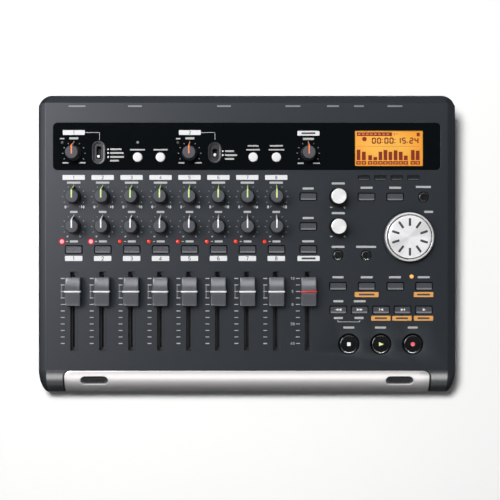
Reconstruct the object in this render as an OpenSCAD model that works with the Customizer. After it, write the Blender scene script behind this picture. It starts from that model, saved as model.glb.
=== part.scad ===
// Tabletop multitrack recorder with nine faders, rotary controls, keys, a data wheel and an amber display.
// Units are millimetres. The table is z = 0, the user sits at -Y, +X is to the right.
// Controls are placed in the frame of the sloped surface: u to the right, v away from the user, w out of the surface.

/* [Case] */
// Overall width of the case
body_w = 291.6; // [289.6:0.2:294]
// Overall depth of the case
body_d = 207.3; // [206:0.1:208.5]
// Height of the control surface above the table at mid depth
panel_z = 34; // [33.5:0.25:35]
// Slope of the control surface in degrees
panel_tilt = 3; // [2.75:0.25:3.25]
// Height of the joint between upper and lower case
split_z = 14; // [13.75:0.05:14.25]
// Wall thickness of the mouldings
wall = 2.6; // [2.2:0.1:2.8]
// Thickness of the control surface
top_t = 3; // [2.8:0.1:3]
// Radius of the upper edges at the sides and rear
edge_r = 5; // [4:0.5:6]
// Radius of the rear corners seen from above
rear_r = 10; // [8:0.5:12]
// Width of the rounded front corners seen from above
front_rx = 5.8; // [5:0.2:7]
// Depth of the rounded front corners seen from above
front_ry = 11; // [9:0.5:12]
// Corner radius of the front trim
trim_r = 3.7; // [2.5:0.1:4]
// Radius of the rounded front edge
nose_r = 16.6; // [16.4:0.1:16.8]
// Height of the rubber feet
foot_h = 3; // [2.5:0.1:3]

/* [Controls] */
// Distance between two tracks
track_pitch = 20.2; // [19.8:0.1:20.4]
// Position of the first track from the middle
track_x0 = -120.7; // [-121.5:0.1:-120]
// Position of the master fader from the middle
master_x = 42.9; // [42.5:0.1:43.3]
// Travel of every fader
fader_travel = 45; // [40:0.5:45.5]
// Height of the small knobs above the control surface
knob_h = 13.7; // [12.5:0.1:14]
// Radius of the small knobs at the foot
knob_r = 5.3; // [5:0.1:5.6]
// Radius of the data wheel
wheel_r = 17.1; // [16.5:0.05:17.5]
// Width of the rectangular keys
key_w = 11; // [10:0.1:11.4]
// Depth of the rectangular keys
key_d = 4.6; // [4:0.1:4.9]
// Height of the rectangular keys above the control surface
key_h = 1.3; // [0.8:0.1:2]

/* [Window] */
// Width of the glossy window panel
window_w = 269.8; // [266:0.2:270]
// Depth of the glossy window panel
window_d = 32.5; // [32:0.1:32.6]
// Width of the visible display area
lcd_w = 47.4; // [46:0.2:48]
// Depth of the visible display area
lcd_d = 24.7; // [24:0.1:25]

/* [Hidden] */
$fn = 48;
ta = tan(panel_tilt);
tracks = 8;
function track_x(i) = track_x0 + track_pitch * i;

// rows of controls, measured along the slope from mid depth
row_trim = 63.2;
row_reverb = 32.9;
row_pan = 12.1;
row_led = 1.6;
row_rec = -3.9;
row_fader = -47;
row_fader_rest = -33.1;
row_white = 60.4;
row_edit = -29.6;
row_locate = -46.1;
row_transport = -69.9;

// stack of layers below the control surface
board_top = -10.4;
board_t = 1.6;

// fader movement up and down from where the photo shows them
fader_up = fader_travel * 0.196;
fader_down = fader_travel - fader_up;

knob_spots = concat(
    [for (i = [0:tracks - 1]) [track_x(i), row_reverb]],
    [for (i = [0:tracks - 1]) [track_x(i), row_pan]],
    [[track_x(0), row_trim], [track_x(4), row_trim], [master_x, row_trim]]);
eq_spots = [[63.5, row_reverb], [63.5, row_pan]];
wheel_spot = [112.9, 4.8];
fader_xs = concat([for (i = [0:tracks - 1]) track_x(i)], [master_x]);

rec_spots = [for (i = [0:tracks - 1]) [track_x(i), row_rec]];
mixer_spots = [[master_x, row_reverb], [master_x, row_pan], [master_x, row_rec]];
menu_spots = [[83.5, 32.7], [103.4, 32.7]];
round_spots = [[123.3, 32.6]];
tool_spots = [[63.6, -8], [83.2, -8]];
edit_spots = [for (i = [0:3]) [63.6 + 20 * i, row_edit]];
locate_spots = [for (i = [0:4]) [63.8 + 14.92 * i, row_locate]];
white_spots = [[-76.2, row_white], [-60.3, row_white], [4.4, row_white], [20.6, row_white]];
f_spots = [for (i = [0:3]) [81.6 + 11.5 * i, 46.1]];
transport_spots = [[71.1, row_transport], [93.4, row_transport], [115.7, row_transport]];

rec_led_spots = [for (i = [0:tracks - 1]) [track_x(i) - 8.3, row_led]];
amber_led_spot = [115, -22.8];
small_led_spots = [[-76.2, 70.8], [-128.8, 70.7], [-48.1, 70.7]];

switch_a = [-103.3, 63.7];
switch_b = [-22.3, 63.7];
switch_a_rest = 60.9;
switch_b_rest = 62;
switch_step = 2.7;
lcd_spot = [99.1, 66.7];
window_v = 68;

// rounded front edge
nose_y = -body_d / 2 + nose_r;
nose_z = panel_z + nose_y * ta - nose_r / cos(panel_tilt);
trim_half = 128;
mic_x = 106.8;
mic_tilt = 30.6;

// rear recess and plate
plate_y = 90;
plate_t = 2;
recess_half = 132;
recess_top = 33.5;
socket_z = 16;
combo_z = 20.9;
combo_xs = [-77.8, -15.7];
jack_xs = [-118.8, 60.1];
phono_xs = [26, 40];
dc_x = 78.3;
standby_x = 103.6;
card_x = 92;
data_x = 62;

boss_x = 135;
boss_ys = [-74, 0, 72];

// ---- shared shapes ----

function arc(cx, cy, r, a0, a1, n) =
    [for (i = [0:n]) let (a = a0 + (a1 - a0) * i / n) [cx + r * cos(a), cy + r * sin(a)]];

function oval(cx, cy, rx, ry, a0, a1, n) =
    [for (i = [0:n]) let (a = a0 + (a1 - a0) * i / n) [cx + rx * cos(a), cy + ry * sin(a)]];

// outline of the case seen from above, moved in by i
function plan(i) =
    let (x = body_w / 2 - i, y = body_d / 2 - i, rx = front_rx - min(i, 3), ry = front_ry - min(i, 3), rr = rear_r - i)
    concat(oval(x - rx, -y + ry, rx, ry, -90, 0, 8), arc(x - rr, y - rr, rr, 0, 90, 8),
           arc(-x + rr, y - rr, rr, 90, 180, 8), oval(-x + rx, -y + ry, rx, ry, 180, 270, 8));

// outline of the front trim seen from above: half width, far edge, corner radius
function trim_plan(h, y, r) =
    concat([[-h, -120], [h, -120]], arc(h - r, y - r, r, 0, 90, 8), arc(-h + r, y - r, r, 90, 180, 8));

function surface_z(y, depth) = panel_z + y * ta - depth / cos(panel_tilt);

// side view of the outer form
function side_outer() =
    let (yr = body_d / 2 - edge_r)
    concat([[-body_d / 2, 0]], arc(nose_y, nose_z, nose_r, 180, 90 + panel_tilt, 18),
           arc(yr, surface_z(yr, edge_r), edge_r, 90 + panel_tilt, 0, 8), [[body_d / 2, 0]]);

// side view of the hollow
function side_inner() =
    concat([[nose_y - nose_r + 5.5, 0]], arc(nose_y, nose_z, nose_r - 5.5, 180, 100, 6),
           [[nose_y + 3, surface_z(nose_y + 3, top_t)], [plate_y - 0.2, surface_z(plate_y - 0.2, top_t)],
            [plate_y - 0.2, 0]]);

function racetrack(w, l) =
    concat(arc(0, l / 2 - w / 2, w / 2, 0, 180, 12), arc(0, -l / 2 + w / 2, w / 2, 180, 360, 12));

module on_panel() translate([0, 0, panel_z]) rotate([panel_tilt, 0, 0]) children();
module at(p) on_panel() translate([p[0], p[1], 0]) children();
module block(x, y, z0, z1) translate([-x / 2, -y / 2, z0]) cube([x, y, z1 - z0]);
module rod(r, z0, z1) translate([0, 0, z0]) cylinder(r = r, h = z1 - z0);
module outward(x, z) translate([x, 0, z]) rotate([-90, 0, 0]) children();
module along_x(w) rotate([90, 0, 90]) translate([0, 0, -w / 2]) linear_extrude(w) children();
module slope_prism(pts) on_panel() rotate([90, 0, 0]) translate([0, 0, -150]) linear_extrude(300) polygon(pts);

// ---- case ----

module case_outer() intersection() {
    translate([0, 0, split_z]) linear_extrude(40) polygon(plan(0));
    along_x(400) polygon(side_outer());
    let (x = body_w / 2 - edge_r)
        slope_prism(concat([[-body_w / 2, -60], [body_w / 2, -60]], arc(x, -edge_r, edge_r, 0, 90, 8),
                           arc(-x, -edge_r, edge_r, 90, 180, 8)));
}

module case_hollow() intersection() {
    linear_extrude(60) polygon(plan(wall));
    along_x(400) polygon(side_inner());
}

module panel_cut(p, x, y) at(p) block(x, y, -8, 4);
module panel_bore(p, r) at(p) rod(r, -8, 4);

module upper_case() color([0.22, 0.23, 0.25]) difference() {
    union() {
        difference() {
            case_outer();
            case_hollow();
        }
        for (s = [-1, 1], y = boss_ys)
            translate([s * boss_x, y, split_z]) cylinder(r = 4.5, h = surface_z(y, top_t - 1) - split_z);
    }
    // pilot holes for the case screws
    for (s = [-1, 1], y = boss_ys) translate([s * boss_x, y, split_z - 1]) cylinder(r = 1.25, h = 9);
    // recess and plate seat at the back
    translate([-recess_half, plate_y + 1, 0]) cube([recess_half * 2, 40, recess_top]);
    translate([-recess_half - 0.5, plate_y - 1, 0]) cube([recess_half * 2 + 1, plate_t + 1.1, 35.2]);
    for (s = [-1, 1]) translate([s * 138.6 - 3.6, 80, 0]) cube([7.2, 19.6, 32]);
    // seat of the front trim
    intersection() {
        along_x(trim_half * 2 + 2) polygon(concat(arc(nose_y, nose_z, nose_r - 1.7, 92, 190, 16), arc(nose_y, nose_z, nose_r + 6, 190, 92, 8)));
        linear_extrude(60) polygon(trim_plan(trim_half + 0.3, nose_y - 0.4, trim_r + 0.2));
    }
    // microphone pockets
    for (s = [-1, 1]) translate([s * mic_x, nose_y, nose_z]) rotate([mic_tilt, 0, 0]) {
        translate([0, 0, nose_r - 3.2]) rotate([0, 0, 90]) linear_extrude(9) polygon(racetrack(8.4, 21.4));
        rod(3.3, 4, nose_r);
    }
    // window seat and what passes through below it
    at([0, window_v]) block(window_w + 0.3, window_d + 0.3, -1.6, 6);
    panel_cut(lcd_spot, 52, 29);
    panel_cut(switch_a, 6, 14);
    panel_cut(switch_b, 6, 14);
    for (p = white_spots) panel_bore(p, 4.2);
    for (p = small_led_spots) panel_bore(p, 1.6);
    // rotary controls
    for (p = concat(knob_spots, eq_spots, [wheel_spot])) panel_bore(p, 3.9);
    at(wheel_spot) rod(wheel_r + 1, -0.8, 4);
    // faders
    for (x = fader_xs) panel_cut([x, row_fader], 3.6, 54.8);
    // keys
    for (p = concat(rec_spots, mixer_spots, menu_spots, edit_spots, locate_spots)) panel_cut(p, key_w + 1.1, key_d + 1.1);
    for (p = f_spots) panel_cut(p, 8.5, 3.5);
    for (p = concat(round_spots, tool_spots)) panel_bore(p, 3.7);
    for (p = transport_spots) {
        panel_bore(p, 6.75);
        at(p) translate([0, 0, -1]) cylinder(r1 = 6.75, r2 = 7.95, h = 1.2);
    }
    // lights
    for (p = concat(rec_led_spots, [amber_led_spot])) panel_bore(p, 1.65);
}

module lower_case() color([0.16, 0.17, 0.18]) difference() {
    union() {
        difference() {
            intersection() {
                translate([0, 0, foot_h]) linear_extrude(split_z - 0.1 - foot_h) polygon(plan(1.2));
                along_x(400) polygon([[-body_d / 2 + 3.7, foot_h], [-body_d / 2 + 1.2, foot_h + 2.5], [-body_d / 2 + 1.2, 30],
                                      [body_d / 2 - 1.2, 30], [body_d / 2 - 1.2, foot_h + 2.5], [body_d / 2 - 3.7, foot_h]]);
                rotate([90, 0, 0]) translate([0, 0, -150]) linear_extrude(300)
                    polygon([[-body_w / 2 + 3.7, foot_h], [body_w / 2 - 3.7, foot_h], [body_w / 2 - 1.2, foot_h + 2.5], [body_w / 2 - 1.2, 30],
                             [-body_w / 2 + 1.2, 30], [-body_w / 2 + 1.2, foot_h + 2.5]]);
            }
            intersection() {
                translate([0, 0, foot_h + 2.5]) linear_extrude(30) polygon(plan(3.6));
                translate([-200, -200, 0]) cube([400, 200 + plate_y - 0.2, 60]);
            }
        }
        for (s = [-1, 1], y = boss_ys) translate([s * boss_x, y, foot_h + 1]) cylinder(r = 4.5, h = split_z - 0.1 - foot_h - 1);
        // posts of the main board
        for (x = [-110, 0, 110], y = [-85, 60]) translate([x, y, foot_h + 1]) cylinder(r = 3, h = 3.5);
    }
    translate([-recess_half, plate_y - 1, foot_h + 2.5]) cube([recess_half * 2, 40, 40]);
    translate([-recess_half - 0.5, plate_y - 1, foot_h + 2.5]) cube([recess_half * 2 + 1, plate_t + 1.1, 40]);
    for (s = [-1, 1], y = boss_ys) translate([s * boss_x, y, 0]) {
        cylinder(r = 1.7, h = 30);
        cylinder(r = 3.3, h = 8);
    }
    translate([card_x, -body_d / 2, 11]) block(26, 12, -1.4, 1.6);
    translate([data_x, -body_d / 2, 11]) block(9.4, 12, -1.5, 2);
}

module front_trim() color([0.8, 0.81, 0.82]) difference() {
    intersection() {
        translate([0, 0, split_z + 0.25]) linear_extrude(46) polygon(trim_plan(trim_half, nose_y - 0.7, trim_r));
        along_x(trim_half * 2 + 2) polygon(concat(arc(nose_y, nose_z, nose_r, 180, 93, 20), arc(nose_y, nose_z, nose_r - 1.6, 93, 180, 16)));
    }
    for (s = [-1, 1]) translate([s * mic_x, nose_y, nose_z]) rotate([mic_tilt, 0, 0]) rotate([0, 0, 90])
        translate([0, 0, 8]) linear_extrude(14) polygon(racetrack(6.6, 19.2));
}

module mic_grilles() color([0.1, 0.1, 0.1])
    for (s = [-1, 1]) translate([s * mic_x, nose_y, nose_z]) rotate([mic_tilt, 0, 0]) rotate([0, 0, 90])
        translate([0, 0, nose_r - 3.1]) linear_extrude(0.8) polygon(racetrack(8, 20.8));

module mic_capsules() color([0.5, 0.5, 0.5])
    for (s = [-1, 1]) translate([s * mic_x, nose_y, nose_z]) rotate([mic_tilt, 0, 0]) rod(3, 5.5, nose_r - 3.4);

module rear_panel() color([0.08, 0.08, 0.09]) difference() {
    translate([-recess_half + 0.2, plate_y, foot_h + 2.6]) cube([recess_half * 2 - 0.4, plate_t, 35 - foot_h - 2.6]);
    for (x = combo_xs) outward(x, combo_z) rod(10.75, 80, 100);
    for (x = jack_xs) outward(x, socket_z) rod(4.5, 80, 100);
    for (x = phono_xs) outward(x, socket_z) rod(4.25, 80, 100);
    outward(dc_x, socket_z) block(9.4, 9.4, 80, 100);
    outward(standby_x, socket_z) block(10.4, 4.2, 80, 100);
}

module rubber_feet() color([0.05, 0.05, 0.05])
    for (x = [-118, 118], y = [-82, 82]) translate([x, y, 0]) cylinder(r = 8, h = foot_h);

module case_screws() color([0.3, 0.3, 0.32])
    for (s = [-1, 1], y = boss_ys) translate([s * boss_x, y, 0]) difference() {
        union() {
            rod(2.9, 6, 8);
            rod(1.2, 7, 20);
        }
        block(0.8, 3.4, 5, 6.9);
        block(3.4, 0.8, 5, 6.9);
    }

// ---- window, display, boards ----

module window_panel() color([0.03, 0.03, 0.04]) difference() {
    union() {
        at([0, window_v]) block(window_w, window_d, -1.5, -0.05);
        at(switch_a) translate([0, 0, -1]) linear_extrude(1.6) polygon(racetrack(9.4, 16.5));
        at(switch_b) translate([0, 0, -1]) linear_extrude(1.6) polygon(racetrack(9.4, 14.8));
    }
    panel_cut(lcd_spot, lcd_w, lcd_d);
    at(switch_a) translate([0, 0, -0.3]) linear_extrude(4) polygon(racetrack(6.2, 13.3));
    at(switch_b) translate([0, 0, -0.3]) linear_extrude(4) polygon(racetrack(6.2, 11.6));
    panel_cut([switch_a[0], switch_a_rest + switch_step], 3.4, 2 * switch_step + 3.4);
    panel_cut([switch_b[0], switch_b_rest + switch_step / 2], 3.4, switch_step + 3.4);
    for (p = white_spots) panel_bore(p, 3.9);
    for (p = small_led_spots) panel_bore(p, 1.15);
    for (p = [for (i = [2 * tracks:2 * tracks + 2]) knob_spots[i]]) panel_bore(p, 3.9);
}

module display_module() color([0.9, 0.6, 0.15]) at(lcd_spot) {
    union() {
        block(56, 32.8, -8.5, -3.2);
        block(50.4, 27.6, -4, -1.75);
    }
}

module circuit_boards() color([0.08, 0.3, 0.18]) {
    on_panel() translate([-127, -82, board_top - board_t]) cube([254, 150, board_t]);
    translate([-126, -97, 7.6]) cube([252, 185, 1.6]);
}

module rotary_pot() difference() {
    union() {
        block(9.6, 9.6, board_top + 0.05, -4.6);
        rod(3.5, -5, -0.4);
    }
    rod(3.05, -9.6, 5);
}

module slide_pot() difference() {
    block(9, 62, board_top + 0.05, -4.2);
    block(2, 51, -8.5, 0);
}

module potentiometers() color([0.6, 0.6, 0.6]) {
    for (p = concat(knob_spots, eq_spots, [wheel_spot])) at(p) rotary_pot();
    for (x = fader_xs) at([x, row_fader]) slide_pot();
}

module tact_switch() {
    block(6, 6, board_top + 0.05, -7);
    rod(1.7, -7.5, -6.3);
}

module slide_switch_body(len) difference() {
    block(8, len + 6, board_top + 0.05, -4.4);
    block(3, len, -8, 0);
}

module key_switches() color([0.25, 0.25, 0.25]) {
    for (p = concat(rec_spots, mixer_spots, menu_spots, round_spots, tool_spots, edit_spots, locate_spots, white_spots, f_spots, transport_spots))
        at(p) tact_switch();
    at([switch_a[0], switch_a_rest + switch_step]) slide_switch_body(2 * switch_step + 3.2);
    at([switch_b[0], switch_b_rest + switch_step / 2]) slide_switch_body(switch_step + 3.2);
    outward(standby_x, socket_z) difference() {
        block(17, 8, 78, plate_y - 0.1);
        block(9.4, 4, 84, 120);
    }
}

module indicator_leds() color([0.8, 0.1, 0.08]) {
    for (p = concat(rec_led_spots, [amber_led_spot])) at(p) {
        rod(1.45, board_top + 0.05, 0.1);
        intersection() {
            translate([0, 0, -1]) sphere(r = 1.8);
            rod(1.45, -2, 4);
        }
    }
    for (p = small_led_spots) at(p) {
        rod(1, -2, -0.1);
        rod(1.5, -4.4, -1.55);
    }
}

// ---- sockets ----

module combo_socket() difference() {
    union() {
        rod(10.6, 71, plate_y + plate_t + 1);
        rod(12, plate_y + plate_t + 0.05, plate_y + plate_t + 1.65);
    }
    rod(3.25, 74, 120);
    for (a = [90, 210, 330]) rotate([0, 0, a]) translate([5.6, 0, 0]) rod(1.2, 82, 120);
    difference() {
        rod(9.2, 84, 120);
        rod(7.9, 80, 130);
    }
}

module jack_socket() difference() {
    union() {
        block(13, 13, 71.5, plate_y - 0.1);
        rod(4.4, 85, plate_y + plate_t + 3);
        translate([0, 0, plate_y + plate_t + 0.05]) cylinder(r = 6.6, h = 2, $fn = 6);
    }
    rod(3.25, 73.5, 120);
}

module phono_socket() difference() {
    union() {
        block(10, 12.6, 74, plate_y - 0.1);
        rod(4.1, 85, plate_y + plate_t + 8.6);
        rod(5.6, plate_y + plate_t + 0.05, plate_y + plate_t + 1.4);
    }
    rod(1.65, plate_y + plate_t + 1.6, 120);
}

module dc_socket() {
    difference() {
        union() {
            block(12, 12, 75, plate_y - 0.1);
            block(9, 9, 80, plate_y + plate_t + 0.8);
        }
        rod(2.9, 83, 120);
    }
    rod(1, 81, plate_y + plate_t - 0.4);
}

module sockets() color([0.1, 0.1, 0.1]) {
    for (x = combo_xs) outward(x, combo_z) combo_socket();
    for (x = jack_xs) outward(x, socket_z) jack_socket();
    for (x = phono_xs) outward(x, socket_z) phono_socket();
    outward(dc_x, socket_z) dc_socket();
    // card and data sockets on the front edge of the main board
    translate([card_x, -84, 9.3]) difference() {
        block(28.5, 29, 0, 3.7);
        translate([0, -6, 0]) block(24.6, 29, 0.7, 3);
    }
    translate([data_x, -93, 9.3]) difference() {
        block(9, 11, 0, 4.1);
        translate([0, -3, 0]) block(7.4, 11, 0.7, 3.4);
    }
}

// ---- moving controls ----

module fader_cap() difference() {
    along_x(10.7) polygon(concat(
        [[-10, 1.2]], [for (i = [-20:20]) let (v = i / 2, s = (abs(v) - 6.4) / 5.6) [v, abs(v) < 0.9 ? 10.4 : 7.2 + 3.2 * s * s]], [[10, 1.2]]));
    block(1.3, 4.1, 0, 6.1);
}

module fader(x) color([0.15, 0.15, 0.16]) at([x, row_fader_rest]) {
    fader_cap();
    block(1.2, 4, -7.5, 6);
}

module master_fader() fader(master_x);

module shaft() rod(3, -9.4, 8.8);

module small_knob(p, c) color(c) at(p) {
    difference() {
        union() {
            translate([0, 0, 0.7]) cylinder(r1 = knob_r, r2 = knob_r - 0.8, h = knob_h - 0.7);
            along_x(1.4) polygon([[0, 0.9], [7.5, 0.9], [knob_r - 0.8, knob_h], [0, knob_h]]);
        }
        rod(3.05, 0, 9);
    }
    shaft();
}

module reverb_knob(i) small_knob(knob_spots[i], [0.2, 0.22, 0.2]);
module pan_knob(i) small_knob(knob_spots[tracks + i], [0.22, 0.22, 0.22]);
module trim_knob_a() small_knob(knob_spots[2 * tracks], [0.24, 0.2, 0.18]);
module trim_knob_b() small_knob(knob_spots[2 * tracks + 1], [0.24, 0.2, 0.18]);
module phones_knob() small_knob(knob_spots[2 * tracks + 2], [0.24, 0.2, 0.18]);

module eq_knob(p) color([0.6, 0.6, 0.62]) at(p) {
    difference() {
        union() {
            translate([0, 0, 0.7]) cylinder(r1 = 6.5, r2 = 6, h = 7);
            translate([0, 0, 7]) cylinder(r1 = 5.8, r2 = 5.7, h = 5);
        }
        rod(3.05, 0, 9);
    }
    translate([0, 0, 12.05]) cylinder(r1 = 5.7, r2 = 5.4, h = 0.8);
    shaft();
}

module eq_high_knob() eq_knob(eq_spots[0]);
module eq_low_knob() eq_knob(eq_spots[1]);

module data_wheel() color([0.75, 0.76, 0.78]) at(wheel_spot) {
    difference() {
        rotate_extrude() polygon([[0, 0.2], [wheel_r, 0.2], [wheel_r, 5.6], [wheel_r - 0.9, 6.5], [wheel_r - 1.9, 6.5], [wheel_r - 1.9, 5.9],
                                  [wheel_r - 2.2, 5.9], [wheel_r - 2.2, 7], [wheel_r - 2.7, 7.5], [0, 7.5]]);
        rod(3.05, 0, 6);
    }
    rod(3, -9.4, 5.8);
}

module switch_lever(p) color([0.9, 0.9, 0.9]) at(p) {
    block(2.2, 2.2, -7.6, 1);
    rod(1.05, 0.5, 1.5);
}

module input_switch_a() switch_lever([switch_a[0], switch_a_rest]);
module input_switch_b() switch_lever([switch_b[0], switch_b_rest]);

module standby_switch() color([0.12, 0.12, 0.12]) outward(standby_x - 2, socket_z) block(4, 3.2, 84.5, plate_y + plate_t + 3);

module rect_key(w, d, h) {
    block(w, d, -3.6, h);
    block(w + 2.4, d + 2.4, -4.3, -3.4);
    rod(1.1, -5.5, -4);
}

module round_key(r, h) {
    rod(r, -3.6, h);
    rod(r + 1.2, -4.3, -3.4);
    rod(1.6, -5.5, -4);
}

module transport_key(p) color([0.04, 0.04, 0.05]) at(p) round_key(6.25, 1.6);
module stop_key() transport_key(transport_spots[0]);
module play_key() transport_key(transport_spots[1]);
module record_key() transport_key(transport_spots[2]);
module panel_keys(spots) color([0.3, 0.31, 0.33]) for (p = spots) at(p) rect_key(key_w, key_d, key_h);
module rec_keys() panel_keys(rec_spots);
module mixer_keys() panel_keys(mixer_spots);
module edit_keys() panel_keys(edit_spots);
module locate_keys() panel_keys(locate_spots);
module white_keys() color([0.9, 0.9, 0.9]) for (p = white_spots) at(p) round_key(3.45, 1.7);
module function_keys() color([0.3, 0.31, 0.33]) for (p = f_spots) at(p) rect_key(7.7, 2.7, 0.9);
module menu_keys() {
    panel_keys(menu_spots);
    color([0.05, 0.05, 0.05]) for (p = round_spots) at(p) round_key(3.25, 1);
}
module tool_keys() color([0.05, 0.05, 0.05]) for (p = tool_spots) at(p) round_key(3.25, 1);

upper_case();
lower_case();
front_trim();
mic_grilles();
mic_capsules();
window_panel();
display_module();
circuit_boards();
potentiometers();
key_switches();
indicator_leds();
rear_panel();
sockets();
rubber_feet();
case_screws();
for (i = [1:tracks]) fader(track_x(i - 1));
master_fader();
for (i = [1:tracks]) reverb_knob(i - 1);
for (i = [1:tracks]) pan_knob(i - 1);
trim_knob_a();
trim_knob_b();
phones_knob();
eq_high_knob();
eq_low_knob();
data_wheel();
input_switch_a();
input_switch_b();
standby_switch();
stop_key();
play_key();
record_key();
rec_keys();
mixer_keys();
white_keys();
function_keys();
menu_keys();
tool_keys();
edit_keys();
locate_keys();
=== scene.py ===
import math

import bmesh
import bpy
from mathutils import Matrix, Vector
from mathutils.geometry import delaunay_2d_cdt


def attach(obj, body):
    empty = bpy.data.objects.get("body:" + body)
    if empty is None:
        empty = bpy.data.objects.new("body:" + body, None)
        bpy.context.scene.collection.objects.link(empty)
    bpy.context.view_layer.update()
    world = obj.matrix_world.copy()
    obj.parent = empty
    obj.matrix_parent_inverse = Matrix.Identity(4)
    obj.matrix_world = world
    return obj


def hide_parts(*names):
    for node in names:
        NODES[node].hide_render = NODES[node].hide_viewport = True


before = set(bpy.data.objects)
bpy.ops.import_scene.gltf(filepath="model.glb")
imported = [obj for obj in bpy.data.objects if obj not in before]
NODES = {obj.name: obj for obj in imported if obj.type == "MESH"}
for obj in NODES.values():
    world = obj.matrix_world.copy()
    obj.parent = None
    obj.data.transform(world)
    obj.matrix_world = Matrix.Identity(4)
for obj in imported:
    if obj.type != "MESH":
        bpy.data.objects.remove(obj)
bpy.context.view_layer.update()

# ------------------------------------------------------------------ frame numbers, in millimetres
MM = 0.001
TILT = math.radians(3.0)
SA, CA, TA = math.sin(TILT), math.cos(TILT), math.tan(TILT)
PZ = 34.0
PANEL = Matrix.Translation((0, 0, PZ * MM)) @ Matrix.Rotation(TILT, 4, "X")
XW, YE, SPLIT = 145.8, 103.65, 14.0
NR = 16.6
NY = -YE + NR
NZ = PZ + NY * TA - NR / CA
ER = 5.0
YR = YE - ER
ZR = PZ + YR * TA - ER / CA
TRACKS = [-120.7 + 20.2 * i for i in range(8)]
MASTER = 42.9
ROW_TRIM, ROW_REVERB, ROW_PAN, ROW_REC = 63.2, 32.9, 12.1, -3.9
WHEEL = (112.9, 4.8)
WINDOW_V = 68.0
LCD = (99.1, 66.7)
SWITCH_A, SWITCH_B = (-103.3, 63.7), (-22.3, 63.7)
REC_SPOTS = [(x, ROW_REC) for x in TRACKS]
MIXER_SPOTS = [(MASTER, ROW_REVERB), (MASTER, ROW_PAN), (MASTER, ROW_REC)]
MENU_SPOTS = [(83.5, 32.7), (103.4, 32.7)]
ROUND_SPOT = (123.3, 32.6)
TOOL_SPOTS = [(63.6, -8.0), (83.2, -8.0)]
EDIT_SPOTS = [(63.6 + 20 * i, -29.6) for i in range(4)]
LOCATE_SPOTS = [(63.8 + 14.92 * i, -46.1) for i in range(5)]
WHITE_SPOTS = [(-76.2, 60.4), (-60.3, 60.4), (4.4, 60.4), (20.6, 60.4)]
F_SPOTS = [(81.6 + 11.5 * i, 46.1) for i in range(4)]
TRANSPORT = {"stop_key": (71.1, -69.9), "play_key": (93.4, -69.9), "record_key": (115.7, -69.9)}
EQ_SPOTS = [(63.5, ROW_REVERB), (63.5, ROW_PAN)]
SLOT_V = -47.0
FADER_V = -33.1


def mpx(px, py):
    """A point of the control surface from where it lies in the photograph's frame."""
    return (px - 246.9) * 0.6976, (243.9 - py) * 0.6976


# ------------------------------------------------------------------ materials
def lin(c):
    c /= 255.0
    return c / 12.92 if c <= 0.04045 else ((c + 0.055) / 1.055) ** 2.4


def rgb(r, g, b):
    return (lin(r), lin(g), lin(b))


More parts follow.
